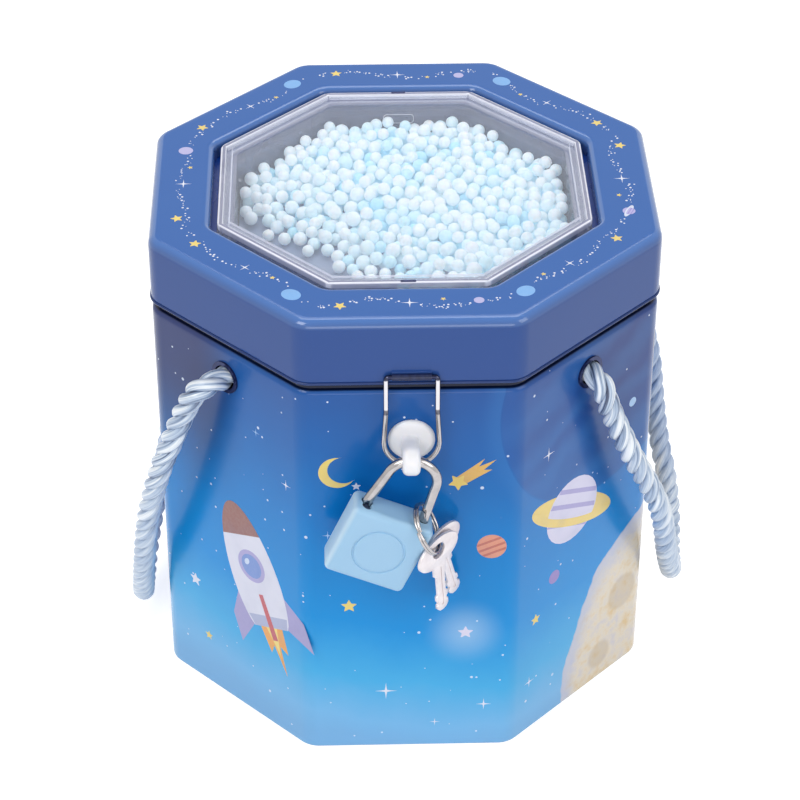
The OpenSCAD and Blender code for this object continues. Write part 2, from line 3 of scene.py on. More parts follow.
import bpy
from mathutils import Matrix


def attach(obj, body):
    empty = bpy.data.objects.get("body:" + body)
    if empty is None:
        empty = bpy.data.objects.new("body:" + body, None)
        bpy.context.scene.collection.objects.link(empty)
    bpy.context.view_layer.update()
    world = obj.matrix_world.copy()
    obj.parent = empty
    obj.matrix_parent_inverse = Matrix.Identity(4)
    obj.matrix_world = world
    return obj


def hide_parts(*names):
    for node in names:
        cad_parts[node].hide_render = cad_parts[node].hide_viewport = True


bl_info = {
    "name": "Tin Money Box",
    "version": (1, 0, 0),
    "blender": (4, 5, 0),
    "location": "3D View > Sidebar > Money Box",
    "description": "Dresses the octagonal tin money box in printed tin, clear plastic, steel and twisted rope",
    "category": "Object",
}

from contextlib import contextmanager

import bmesh
import bpy
import numpy as np
from math import atan2, cos, exp, hypot, pi, radians, sin, sqrt, tan
from mathutils import Matrix, Vector

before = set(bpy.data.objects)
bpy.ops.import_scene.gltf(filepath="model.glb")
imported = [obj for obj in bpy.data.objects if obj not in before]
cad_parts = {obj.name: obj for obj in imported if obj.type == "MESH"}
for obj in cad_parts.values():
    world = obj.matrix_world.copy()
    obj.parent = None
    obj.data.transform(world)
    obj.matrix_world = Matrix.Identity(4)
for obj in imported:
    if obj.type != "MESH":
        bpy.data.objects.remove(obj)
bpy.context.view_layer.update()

MM = 0.001
TAU = 2 * pi
XYZ = (0, 1, 2)


def lin(*c):
    """A colour written as 0..255 sRGB, as linear RGBA."""
    return (*(v / 12.92 if v <= 0.04045 else ((v + 0.055) / 1.055) ** 2.4 for v in (n / 255 for n in c)), 1.0)


# ---------------------------------------------------------------- shader maths


def maths(operation, swapped=False):
    """A method that adds a Math node."""

    def run(self, *others):
        values = (*others, self) if swapped else (self, *others)
        return self.mat.node("Math", {"operation": operation}, dict(enumerate(values)))

    return run


class Sock:
    """A shader value, with Python's operators."""

    def __init__(self, mat, value):
        self.mat, self.value = mat, value

    __add__ = __radd__ = maths("ADD")
    __sub__, __rsub__ = maths("SUBTRACT"), maths("SUBTRACT", swapped=True)
    __mul__ = __rmul__ = maths("MULTIPLY")
    __truediv__, __rtruediv__ = maths("DIVIDE"), maths("DIVIDE", swapped=True)
    sin, tan, sqrt = maths("SINE"), maths("TANGENT"), maths("SQRT")
    abs, round = maths("ABSOLUTE"), maths("ROUND")
    least, most = maths("MINIMUM"), maths("MAXIMUM")
    angle = maths("ARCTAN2")

    def __neg__(self):
        return self * -1.0

    def ramp(self, low, high, to_low=0.0, to_high=1.0):
        """Rises smoothly from to_low at low to to_high at high."""
        ends = {"From Min": low, "From Max": high, "To Min": to_low, "To Max": to_high}
        return self.mat.node("MapRange", {"interpolation_type": "SMOOTHSTEP"}, {"Value": self, **ends})

    def stops(self, *stops):
        """A colour that runs through (place, colour) stops."""
        return self.mat.node("ValToRGB", {"stops": stops}, {"Fac": self})


class Mat:
    """A material or a world, and the nodes in it."""

    def __init__(self, name, kind="Material"):
        self.m = (bpy.data.worlds if kind == "World" else bpy.data.materials).new(name)
        self.m.use_nodes = True
        self.tree = self.m.node_tree
        self.tree.nodes.clear()
        self.out = self.tree.nodes.new("ShaderNodeOutput" + kind)
        self.where = None

    def join(self, value, socket):
        value = value.value if isinstance(value, Sock) else value
        if isinstance(value, bpy.types.NodeSocket):
            self.tree.links.new(value, socket)
        else:
            socket.default_value = value

    def node(self, kind, settings=None, inputs=None, output=0):
        """Adds a node: first its settings, then its sockets. A tuple of outputs gives a list."""
        n = self.tree.nodes.new("ShaderNode" + kind)
        for k, v in (settings or {}).items():
            if k == "stops":
                ramp = n.color_ramp.elements
                while len(ramp) < len(v):
                    ramp.new(0.5)
                for e, (place, colour) in zip(ramp, v):
                    e.position = place
                    e.color = colour
            else:
                setattr(n, k, v)
        for k, v in (inputs or {}).items():
            self.join(v, n.inputs[k])
        if isinstance(output, tuple):
            return [Sock(self, n.outputs[k]) for k in output]
        return Sock(self, n.outputs[output])

    def point(self):
        """The place on the object in millimetres."""
        if self.where is None:
            here = self.node("TexCoord", output="Object")
            self.where = self.node("VectorMath", {"operation": "SCALE"}, {0: here, "Scale": 1000.0})
        return self.where

    def at(self):
        """The same place as x, y and z."""
        return self.node("SeparateXYZ", None, {0: self.point()}, XYZ)

    def across(self):
        """How far out from the box's axis a place is, across the flats of an octagon."""
        x, y, z = self.at()
        return x.abs().most(y.abs()).most((x.abs() + y.abs()) * sqrt(0.5))

    def faces(self):
        """How far a face looks away from the box's upright axis, from -1 to 1, and how far it looks up."""
        a, b, up = self.node("SeparateXYZ", None, {0: self.node("TexCoord", output="Normal")}, XYZ)
        x, y, z = self.at()
        return (a * x + b * y) / ((x * x + y * y).sqrt() + 0.001), up

    def vector(self, x, y, z):
        return self.node("CombineXYZ", None, {0: x, 1: y, 2: z})

    def noise(self, scale, detail=2.0, rough=0.5, place=None, stretch=None):
        place = place or self.point()
        if stretch:
            place = self.node("VectorMath", {"operation": "MULTIPLY"}, {0: place, 1: stretch})
        return self.node("TexNoise", None, {"Vector": place, "Scale": scale, "Detail": detail, "Roughness": rough})

    def mix(self, fac, a, b, blend="MIX"):
        return self.node("Mix", {"data_type": "RGBA", "blend_type": blend}, {0: fac, 6: a, 7: b}, 2)

    def bump(self, height, distance, strength=1.0, **normal):
        return self.node("Bump", None, {"Height": height, "Distance": distance, "Strength": strength, **normal})

    def blend(self, fac, a, b):
        return self.node("MixShader", None, {0: fac, 1: a, 2: b})

    def glow(self, strength):
        """White light given off."""
        return self.node("Emission", None, {"Color": (1, 1, 1, 1), "Strength": strength})

    def seen(self):
        """1 for the camera's own rays and for those that metal and glass pass on."""
        kinds = ("Is Camera Ray", "Is Glossy Ray", "Is Transmission Ray")
        own, gloss, through = self.node("LightPath", None, None, kinds)
        return own.most(gloss).most(through)

    def surface(self, **values):
        """The Principled shader, with sockets named with _ for a space."""
        return self.node("BsdfPrincipled", None, {k.replace("_", " "): v for k, v in values.items()})

    def finish(self, shader):
        self.join(shader, self.out.inputs["Surface"])
        return self.m


# ---------------------------------------------------------------- mesh helpers


def new_object(name, mesh, finish):
    o = bpy.data.objects.new(name, mesh)
    bpy.context.scene.collection.objects.link(o)
    mesh.materials.clear()
    if finish:
        mesh.materials.append(made(finish))
    return o


def smooth(mesh, angle=35):
    """Smooth shading, with edges sharper than the angle kept."""
    mesh.polygons.foreach_set("use_smooth", [True] * len(mesh.polygons))
    mesh.set_sharp_from_angle(angle=radians(angle))
    mesh.update()


@contextmanager
def opened(mesh):
    """The mesh as a bmesh, written back at the end."""
    bm = bmesh.new()
    bm.from_mesh(mesh)
    yield bm
    bm.to_mesh(mesh)
    bm.free()


def solid(name, verts, faces, finish, angle=35):
    """A mesh object from points in millimetres, with its faces turned outwards."""
    mesh = bpy.data.meshes.new(name)
    mesh.from_pydata([tuple(c * MM for c in v) for v in verts], [], faces)
    with opened(mesh) as bm:
        bmesh.ops.recalc_face_normals(bm, faces=bm.faces)
    smooth(mesh, angle)
    return new_object(name, mesh, finish)


def dropped(objects):
    """Deletes objects and their meshes."""
    for o in objects:
        mesh = o.data
        bpy.data.objects.remove(o)
        bpy.data.meshes.remove(mesh)


def applied(o, angle=35):
    """The object with its modifiers applied."""
    mesh = bpy.data.meshes.new_from_object(o.evaluated_get(bpy.context.evaluated_depsgraph_get()))
    o.modifiers.clear()
    old, o.data = o.data, mesh
    bpy.data.meshes.remove(old)
    smooth(mesh, angle)
    return o


def cut(o, tools, angle=35):
    """Cuts the tools from the object, and deletes them."""
    for t in tools:
        mod = o.modifiers.new("cut", "BOOLEAN")
        mod.solver = "EXACT"
        mod.object = t
    bpy.context.view_layer.update()
    applied(o, angle)
    dropped(tools)
    return o


def merged(name, objects, angle=35):
    """One object from several, each with its own closed mesh."""
    mesh = bpy.data.meshes.new(name)
    with opened(mesh) as bm:
        for o in objects:
            bm.from_mesh(o.data)
    material = objects[0].data.materials[0]
    dropped(objects)
    smooth(mesh, angle)
    o = new_object(name, mesh, None)
    mesh.materials.append(material)
    return o


def place(o, *moves):
    """Moves the mesh's points, the last move first, so that the object stays at the origin."""
    for m in reversed(moves):
        o.data.transform(m)
    o.data.update()
    return o


def shift(x, y, z):
    """A move in millimetres."""
    return Matrix.Translation((x * MM, y * MM, z * MM))


def spin(degrees, axis):
    return Matrix.Rotation(radians(degrees), 4, axis)


def ellipse(cx, cy, a, b, n=32, turn=0.0, a0=0.0, a1=360.0):
    """Points of an ellipse, or of a part of one."""
    full = abs(a1 - a0) >= 359.9
    out = []
    for i in range(n if full else n + 1):
        t = radians(a0 + (a1 - a0) * i / n)
        x, y = a * cos(t), b * sin(t)
        c, s = cos(radians(turn)), sin(radians(turn))
        out.append((cx + x * c - y * s, cy + x * s + y * c))
    return out


def arc(cx, cy, r, a0, a1, n):
    """Points of an arc, angles in degrees."""
    return ellipse(cx, cy, r, r, n, 0, a0, a1)


def skin(rings, loop=False):
    """Points and faces of a skin over rings of points, closed at its ends or joined in a loop."""
    n, m = len(rings), len(rings[0])
    faces = []
    for i in range(n if loop else n - 1):
        for j in range(m):
            near, far, k = i * m, (i + 1) % n * m, (j + 1) % m
            faces.append((near + j, far + j, far + k, near + k))
    if not loop:
        faces += [tuple(range(m)), tuple(range((n - 1) * m, n * m))]
    return [tuple(p) for ring in rings for p in ring], faces


def ring8(half, r, z, n, near=0.6):
    """Points of an eight-sided ring: round corners of n steps, and two guide points on each flat side."""
    pts = []
    for k in range(8):
        m, t0, t1 = (radians(45 * k + t) for t in (22.5, 0, 45))
        c = (half - r) / cos(radians(22.5))
        bend = arc(c * cos(m), c * sin(m), r, 45 * k, 45 * k + 45, n)
        (x0, y0), (x1, y1) = bend[0], bend[-1]
        bend = [(x0 + near * sin(t0), y0 - near * cos(t0)), *bend, (x1 - near * sin(t1), y1 + near * cos(t1))]
        pts += [(x, y, z) for x, y in bend]
    return pts


def band8(name, outline, finish, angle=50, loop=True):
    """An eight-sided band: each step of the outline is (half width, corner radius, height)."""
    return solid(name, *skin([ring8(h, r, z, 8) for h, r, z in outline], loop), finish, angle)


def steps(half, radius, *points):
    """Steps of an outline through (half width, height) points: the corners' radius goes with the width."""
    return [(h, max(1.0, radius + h - half), z) for h, z in points]


def lathe(name, profile, finish, segs=64, angle=35):
    """A turned solid about Z from (radius, z) points; radius 0 ends close it, otherwise it is a ring."""
    verts, faces, rows = [], [], []
    for r, z in profile:
        if r < 1e-6:
            rows.append([len(verts)])
            verts.append((0, 0, z))
        else:
            rows.append(list(range(len(verts), len(verts) + segs)))
            verts += [(r * cos(TAU * k / segs), r * sin(TAU * k / segs), z) for k in range(segs)]
    pairs = list(zip(rows, rows[1:]))
    if len(rows[0]) > 1 and len(rows[-1]) > 1:
        pairs.append((rows[-1], rows[0]))
    for a, b in pairs:
        for k in range(segs):
            q = (k + 1) % segs
            if len(a) == 1 and len(b) > 1:
                faces.append((a[0], b[k], b[q]))
            elif len(b) == 1 and len(a) > 1:
                faces.append((a[k], b[0], a[q]))
            elif len(a) > 1:
                faces.append((a[k], b[k], b[q], a[q]))
    return solid(name, verts, faces, finish, angle)


def drill(r, depth, sides, *moves):
    """A round cutter."""
    return place(lathe("tool", [(0, -depth), (r, -depth), (r, depth), (0, depth)], None, sides), *moves)


def rounded(points, radius, n=6, closed=False):
    """A path with its corners rounded. radius is one number or one for each point."""
    pts = [Vector(p) for p in points]
    count = len(pts)
    out = []
    for i, p in enumerate(pts):
        r = radius[i] if hasattr(radius, "__len__") else radius
        if (not closed and i in (0, count - 1)) or r <= 0:
            out.append(p)
            continue
        a, b = pts[i - 1], pts[(i + 1) % count]
        u, v = (a - p).normalized(), (b - p).normalized()
        turn = pi - u.angle(v)
        if turn < 1e-3:
            out.append(p)
            continue
        d = r * tan(turn / 2)
        p0, p1 = p + u * d, p + v * d
        mid = p + (u + v).normalized() * (r / cos(turn / 2))
        e0 = p0 - mid
        axis = e0.cross(p1 - mid).normalized()
        for k in range(n + 1):
            out.append(mid + Matrix.Rotation(turn * k / n, 3, axis) @ e0)
    return out


def frames(path, closed=False, start=None):
    """Two directions across a path at each of its points, turning no more than the path does."""
    n = len(path)
    dirs = []
    for i in range(n):
        a = path[i - 1] if (closed or i) else path[0]
        b = path[(i + 1) % n] if (closed or i < n - 1) else path[-1]
        dirs.append((b - a).normalized())
    side = start or Vector((0, 0, 1) if abs(dirs[0].z) < 0.9 else (0, 1, 0))
    out = []
    for i, d in enumerate(dirs):
        if i:
            side = dirs[i - 1].rotation_difference(d) @ side
        side = (side - d * side.dot(d)).normalized()
        out.append((side, d.cross(side)))
    return out


def rounds(path, ways, r, sides):
    """A circle of points round each point of a path."""
    turns = [TAU * k / sides for k in range(sides)]
    return [[p + (u * cos(t) + v * sin(t)) * r for t in turns] for p, (u, v) in zip(path, ways)]


def tube(name, path, r, finish, sides=20, closed=False, angle=60):
    """A round tube along a path in millimetres."""
    path = [Vector(p) for p in path]
    return solid(name, *skin(rounds(path, frames(path, closed), r, sides), closed), finish, angle)


def block(name, low, high, finish, bevel=0.0, segments=3, angle=35):
    """A box in millimetres with rounded edges."""
    verts = [(x, y, z) for x in (low[0], high[0]) for y in (low[1], high[1]) for z in (low[2], high[2])]
    faces = [(0, 1, 3, 2), (4, 6, 7, 5), (0, 4, 5, 1), (2, 3, 7, 6), (0, 2, 6, 4), (1, 5, 7, 3)]
    o = solid(name, verts, faces, finish, angle)
    if bevel:
        with opened(o.data) as bm:
            bmesh.ops.bevel(
                bm, geom=list(bm.edges), offset=bevel * MM, segments=segments, profile=0.5, affect="EDGES",
                clamp_overlap=True,
            )
        smooth(o.data, angle)
    return o


def plate(name, outlines, thickness, bevel, finish, rounding=2, angle=40):
    """A flat plate in the XY plane from closed outlines in millimetres (the first outside, the rest holes)."""
    curve = bpy.data.curves.new(name, "CURVE")
    curve.dimensions = "2D"
    curve.fill_mode = "BOTH"
    for pts in outlines:
        s = curve.splines.new("POLY")
        s.points.add(len(pts) - 1)
        for q, (x, y) in zip(s.points, pts):
            q.co = (x * MM, y * MM, 0, 1)
        s.use_cyclic_u = True
    curve.extrude = (thickness / 2 - bevel) * MM
    curve.bevel_depth = bevel * MM
    curve.offset = -bevel * MM
    curve.bevel_resolution = rounding
    tmp = bpy.data.objects.new(name, curve)
    bpy.context.scene.collection.objects.link(tmp)
    bpy.context.view_layer.update()
    mesh = bpy.data.meshes.new_from_object(tmp.evaluated_get(bpy.context.evaluated_depsgraph_get()))
    bpy.data.objects.remove(tmp)
    bpy.data.curves.remove(curve)
    with opened(mesh) as bm:
        bmesh.ops.remove_doubles(bm, verts=bm.verts, dist=1e-6)
        bmesh.ops.recalc_face_normals(bm, faces=bm.faces)
    smooth(mesh, angle)
    return new_object(name, mesh, finish)


# ---------------------------------------------------------------- settings


def length_property(name, description, default):
    return bpy.props.FloatProperty(
        name=name, description=description, default=default, unit="LENGTH", subtype="DISTANCE")


def colour_property(name, description, *colour):
    return bpy.props.FloatVectorProperty(
        name=name, description=description, default=lin(*colour)[:3], subtype="COLOR", size=3)


class MoneyBoxSizes(bpy.types.PropertyGroup):
    """Sizes that the looks share with the part's source."""

    body_half: length_property("Body half width", "Half of the body's width across flats", 0.0748)
    lid_half: length_property("Lid half width", "Half of the lid's width across flats", 0.075)
    lid_top: length_property("Lid top", "Height of the lid's flat top", 0.1594)
    rope_thickness: length_property("Rope thickness", "Diameter of the twisted rope", 0.007)
    rope_lay: length_property("Rope lay", "Length of rope in which a strand goes round once", 0.016)
    beads: bpy.props.IntProperty(
        name="Foam beads", description="Most foam beads in the tray", default=1500, min=50, max=2000)
    seed: bpy.props.IntProperty(name="Seed", description="Seed of the beads' places", default=7)


class MoneyBoxColours(bpy.types.PropertyGroup):
    """Colours of the finishes, as linear RGB."""

    tin_top: colour_property("Tin, top", "Print colour at the top of the body", 34, 84, 156)
    tin_middle: colour_property("Tin, middle", "Print colour half way down the body", 6, 126, 202)
    tin_bottom: colour_property("Tin, bottom", "Print colour at the bottom of the body", 126, 184, 230)
    lid_blue: colour_property("Lid", "Print colour of the lid", 44, 78, 144)
    lock_blue: colour_property("Padlock", "Colour of the padlock's plastic cover", 158, 200, 230)
    rope_blue: colour_property("Rope", "Colour of the rope's yarn", 164, 184, 210)


def size(key):
    """A size from the settings, in millimetres."""
    return getattr(bpy.context.scene.money_box_sizes, key) / MM


def colour_of(key):
    return (*getattr(bpy.context.scene.money_box_colours, key), 1.0)


# ---------------------------------------------------------------- finishes

FINISHES = {}
_made = {}


def listed(make):
    """Lists a finish under its own name: a function from a material to its shader."""
    FINISHES[make.__name__] = make
    return make


def made(name):
    """The named material, made once."""
    if name not in _made:
        mat = Mat(name)
        _made[name] = mat.finish(FINISHES[name](mat))
    return _made[name]


def varnish(mat, colour, rough=0.18, coat=0.14, metal=0.0):
    """Printed tin under clear varnish: slight waves of the sheet and a fine orange peel."""
    normal = mat.bump(mat.noise(0.045, 1.0, 0.4), 0.00035, 0.35)
    normal = mat.bump(mat.noise(0.9, 2.0, 0.5), 0.00001, 0.25, Normal=normal)
    return mat.surface(
        Base_Color=colour, Roughness=rough + 0.05 * mat.noise(0.12, 4.0, 0.6), Metallic=metal, Normal=normal,
        Specular_IOR_Level=0.22, Coat_Weight=coat, Coat_Roughness=0.05, Coat_IOR=1.5,
    )


def dots(mat, u, v, cell, radius, seed, chance):
    """Scattered round dots, as a mask, on the plane (u, v) in millimetres."""
    place = mat.vector(u / cell + seed, v / cell, seed * 1.7)
    near, tint = mat.node(
        "TexVoronoi", {"voronoi_dimensions": "2D"}, {"Vector": place, "Scale": 1.0}, ("Distance", "Color"))
    pick, spread = mat.node("SeparateColor", None, {0: tint}, (0, 1))
    r = (radius / cell) * (0.35 + 0.65 * spread)
    return (r - near).ramp(0.0, 0.12 * radius / cell) * (pick - (1 - chance)).ramp(0.0, 0.02)


def disc(u, v, cx, cy, r, soft=0.4):
    """A round mask on the plane (u, v), and the distance from its middle."""
    d = ((u - cx) * (u - cx) + (v - cy) * (v - cy)).sqrt()
    return (r - d).ramp(-soft, soft), d


def bare_tin(mat):
    """The colour of unprinted tinplate, with its rolling lines."""
    lines = mat.noise(0.5, 3.0, 0.6, stretch=(0.06, 0.06, 3.0))
    return lines.stops((0.3, lin(178, 180, 184)), (0.7, lin(208, 209, 211)))


@listed
def printed_body(mat):
    """The body's print: a sky from dark to pale blue, a large pale planet tone on tone, and small stars; with painted
    shade high on the side walls and under the lid's skirt.
    """
    half = size("body_half")
    x, y, z = mat.at()
    turn = x.angle(-y)
    side = (turn * (4 / pi)).round()
    u = side * (2 * half * tan(pi / 8)) + half * (turn - side * (pi / 4)).tan()
    cloud = mat.noise(0.028, 4.0, 0.6)
    level = (z + 14 * (cloud - 0.5) + u.ramp(-55.0, 15.0, -8.0, 0.0)) / 136
    sky = level.stops(
        (0.0, colour_of("tin_bottom")), (0.06, lin(124, 190, 236)), (0.18, lin(72, 178, 232)),
        (0.345, lin(4, 146, 220)), (0.60, colour_of("tin_middle")), (0.80, lin(18, 100, 176)),
        (1.0, colour_of("tin_top")),
    )
    # painted shade and painted reflection: the upper parts of the side walls turn purple-grey
    away = (u.abs() - 52).ramp(0.0, 24.0) * (z - 70).ramp(0.0, 52.0)
    sky = mat.mix(away * 0.85, sky, lin(54, 58, 104))
    # a great banded planet, tone on tone
    wide, d = disc(u, z, 70.0, 124.0, 44.0, 0.8)
    bands = ((z - 0.35 * u + 26 * mat.noise(0.035, 3.0, 0.55)) * 0.42).sin()
    tone = mat.mix((bands * 0.5 + 0.5) * 0.8, lin(36, 74, 146), lin(52, 104, 172))
    tone = mat.mix((d - 30).ramp(0.0, 14.0) * 0.5, tone, lin(50, 100, 172))
    sky = mat.mix(wide * 0.58, sky, tone)
    halo = (d - 44).ramp(0.0, 0.5) * (1 - (d - 44).ramp(0.5, 7.0))
    sky = mat.mix(halo * 0.28, sky, lin(60, 130, 200))
    sky = mat.mix(disc(u, z, 17.0, 46.0, 7.0, 7.0)[0] * 0.45, sky, lin(196, 226, 248))
    # the cream ground of a nearer planet, low on the right
    rough = mat.noise(0.06, 3.0, 0.55)
    ground, d = disc(u + 10 * (rough - 0.5), z, 122.0, 2.0, 66.0, 0.5)
    grain = mat.noise(0.16, 5.0, 0.65)
    cream = grain.stops((0.3, lin(228, 200, 152)), (0.5, lin(232, 220, 200)), (0.72, lin(212, 206, 212)))
    cream = mat.mix((d - 57).ramp(0.0, 8.0) * 0.7, cream, lin(186, 196, 224))
    pits = disc(u, z, 84.0, 30.0, 6.5, 0.9)[0].most(disc(u, z, 74.0, 10.0, 5.0, 1.0)[0])
    pits = pits.most(disc(u, z, 101.0, 46.0, 8.5, 0.9)[0])
    cream = mat.mix(pits * 0.5, cream, lin(198, 178, 150))
    sky = mat.mix(ground, sky, cream)
    # a second ground at the back left
    ground2, d = disc(u + 8 * (rough - 0.5), z, -176.0, -20.0, 74.0, 0.5)
    sky = mat.mix(ground2, sky, mat.mix((d - 62).ramp(0.0, 10.0) * 0.6, lin(170, 182, 214), lin(204, 212, 234)))
    stars = dots(mat, u, z, 7.5, 0.42, 3.1, 0.34).most(dots(mat, u, z, 17.0, 0.62, 8.7, 0.3))
    sky = mat.mix(stars * (1 - ground) * (1 - ground2) * 0.85, sky, lin(224, 236, 252))
    # painted shade: nearly black just under the lid's skirt, where the skirt's shadow falls in the gap
    sky = mat.mix((z - 135.3).ramp(0.0, 0.4) * 0.96, sky, lin(8, 14, 40))
    # bare tin inside, on the neck under the lid and below the foot
    outward = mat.faces()[0]
    bare = (-0.1 - outward).ramp(0.0, 0.2).most((z - 138.4).ramp(0.0, 0.3)).most(1 - (z - 0.4).ramp(0.0, 0.3))
    return varnish(mat, mat.mix(bare, sky, bare_tin(mat)), 0.18, 0.14, bare * 0.9)


@listed
def printed_lid(mat):
    """The lid's print: one blue; the flat top is painted a little paler as a painted sheen, the hem darker as painted
    shade.
    """
    z = mat.at()[2]
    cloud = mat.noise(0.03, 3.0, 0.5)
    base = mat.mix(cloud * 0.35, colour_of("lid_blue"), lin(50, 84, 150))
    # painted sheen: the flat top is a little paler
    colour = mat.mix(
        (z - 157.5).ramp(0.0, 1.8), base, mat.mix(cloud * 0.4, lin(46, 98, 172), lin(58, 108, 178)))
    # painted shade: darker on the hem at the skirt's bottom edge
    colour = mat.mix((1 - (z - 138.9).ramp(0.0, 0.35)) * 0.6, colour, lin(18, 34, 84))
    # the varnish coat is glossier on the rolled edge, and the edge is painted paler as a painted highlight
    roll = (z - 156.6).ramp(0.0, 0.9) * (1 - (z - 159.25).ramp(0.0, 0.12))
    colour = mat.mix(roll * 0.25, colour, lin(96, 142, 206))
    # bare tin inside the skirt and under the top, but not on the roll round the window
    outward, upward = mat.faces()
    under = (-0.1 - outward).ramp(0.0, 0.2).most((-0.3 - upward).ramp(0.0, 0.2))
    bare = under * (z - 139.6).ramp(0.0, 0.2) * (mat.across() - 60.0).ramp(0.0, 0.6)
    return varnish(mat, mat.mix(bare, colour, bare_tin(mat)), 0.16, 0.14 + 0.7 * roll, bare * 0.9)


@listed
def printed_inks(mat):
    """Printed motifs: each has its own ink, with the fine mottling of litho print."""
    ink = mat.node("Attribute", {"attribute_name": "ink"}, None, "Color")
    colour = mat.mix(mat.noise(1.1, 3.0, 0.6) * 0.14, ink, lin(236, 236, 244))
    soft = mat.noise(0.12, 2.0, 0.5)
    return varnish(mat, mat.mix((soft - 0.35).ramp(0.0, 0.5) * 0.16, colour, lin(120, 130, 170)))


@listed
def inner_tin(mat):
    """Bare tinplate, with rolling lines."""
    lines = mat.noise(0.6, 4.0, 0.6, stretch=(0.06, 0.06, 3.0))
    colour = lines.stops((0.3, lin(176, 178, 180)), (0.7, lin(206, 207, 208)))
    return mat.surface(
        Base_Color=mat.mix(mat.noise(0.05, 3.0, 0.6) * 0.3, colour, lin(150, 152, 158)), Metallic=1.0,
        Roughness=0.3 + 0.14 * lines, Normal=mat.bump(lines, 0.00003, 0.3),
    )


def plating(haze):
    """The colour of bright plating."""
    return haze.stops((0.25, lin(160, 157, 158)), (0.75, lin(190, 185, 183)))


@listed
def bright_steel(mat):
    """Bright plating with faint scratches and a little haze."""
    haze = mat.noise(0.35, 4.0, 0.6)
    scratch = mat.noise(2.4, 3.0, 0.7, stretch=(1, 1, 0.12))
    return mat.surface(
        Base_Color=plating(haze), Metallic=1.0, Roughness=0.05 + 0.08 * haze,
        Normal=mat.bump(scratch, 0.000012, 0.4),
    )


@listed
def hasp_steel(mat):
    """The hasp's plated wire, with painted light: a painted highlight on its upper legs, and dark painted reflections
    on its flanks, at its kink and on its top bar under the roll.
    """
    x, y, z = mat.at()
    haze = mat.noise(0.35, 4.0, 0.6)
    # painted highlight: the legs are brighter above the kink
    bright = mat.mix((z - 130.8).ramp(0.0, 0.5) * 0.8, plating(haze), lin(216, 214, 217))
    # painted reflection: the legs' flanks are dark
    leg = 7.3 + (130.3 - z).ramp(0.0, 10.9, 0.0, 0.65)
    flank = (((x - 0.4).abs() - leg).abs() - 0.4).ramp(0.0, 0.2) * (z - 119.2).ramp(0.0, 0.8)
    bright = mat.mix(flank * 0.72, bright, lin(86, 76, 84))
    # painted reflection and shade: the top bar under the roll and the kink are dark
    roll = (z + 0.6 * (haze - 0.5) - 140.2).ramp(0.0, 0.4)
    kink = 1 - ((z - 130.2).abs() - 0.55).ramp(0.0, 0.5)
    colour = mat.mix(roll.most(kink * 0.75) * 0.93, bright, lin(30, 36, 66))
    return mat.surface(Base_Color=colour, Metallic=1.0, Roughness=0.03 + 0.06 * haze)


@listed
def key_nickel(mat):
    """Stamped, tumbled keys: pinkish nickel with soft scratches."""
    grain = mat.noise(1.3, 5.0, 0.65)
    colour = mat.noise(0.2, 3.0, 0.6).stops((0.3, lin(218, 209, 210)), (0.7, lin(240, 233, 233)))
    return mat.surface(
        Base_Color=colour, Metallic=0.55, Roughness=0.34 + 0.14 * grain, Normal=mat.bump(grain, 0.00003, 0.35))


def grained(noise, low, high, metal, rough, spread, depth, dent, ends=(0.3, 0.7)):
    """A finish whose grain runs between two colours, and also makes its gloss and its bumps."""

    def make(mat):
        grain = mat.noise(*noise)
        return mat.surface(
            Base_Color=grain.stops((ends[0], lin(*low)), (ends[1], lin(*high))), Metallic=metal,
            Roughness=rough + spread * grain, Normal=mat.bump(grain, depth, dent),
        )

    return make


FINISHES.update(
    # blue-black lacquer, mottled
    eyelet_metal=grained((0.8, 4.0, 0.65), (26, 34, 72), (48, 58, 104), 0.6, 0.12, 0.12, 0.00003, 0.2),
    plug_brass=grained((1.1, 4.0, 0.6), (176, 146, 84), (214, 184, 118), 1.0, 0.28, 0.12, 0.00003, 0.3),
    lock_casting=grained((1.6, 5.0, 0.7), (60, 76, 104), (88, 104, 132), 0.9, 0.42, 0.14, 0.00006, 0.5),
    liner_sheet=grained(
        (0.06, 4.0, 0.6), (112, 130, 164), (140, 156, 186), 0.0, 0.4, 0.1, 0.0001, 0.2, (0.25, 0.75)),
)


def moulded(mat, colour, rough, sub):
    """Moulded plastic: satin, a little light goes in, faint flow and handling marks."""
    return mat.surface(
        Base_Color=colour, Roughness=rough + 0.07 * mat.noise(0.11, 3.0, 0.55), Subsurface_Weight=sub,
        Subsurface_Scale=0.0012, Subsurface_Radius=(1.0, 0.9, 0.8), Coat_Weight=0.12, Coat_Roughness=0.2,
        Normal=mat.bump(mat.noise(1.8, 3.0, 0.6), 0.00001, 0.5),
    )


@listed
def lock_plastic(mat):
    """Pale blue plastic, with the flank away from the keys painted paler as painted light."""
    colour = mat.mix(mat.noise(0.09, 3.0, 0.5) * 0.3, colour_of("lock_blue"), lin(172, 208, 234))
    x, y, z = mat.at()
    across = x * cos(LOCK_LEAN) - (z - 112.65) * sin(LOCK_LEAN)
    # painted light: the flank away from the keys is paler
    return moulded(mat, mat.mix((-10.9 - across).ramp(0.0, 1.2) * 0.8, colour, lin(204, 232, 250)), 0.3, 0.2)


@listed
def white_plastic(mat):
    flow = mat.noise(0.12, 3.0, 0.5)
    return moulded(mat, mat.mix(flow * 0.25, lin(246, 245, 248), lin(234, 235, 242)), 0.26, 0.6)


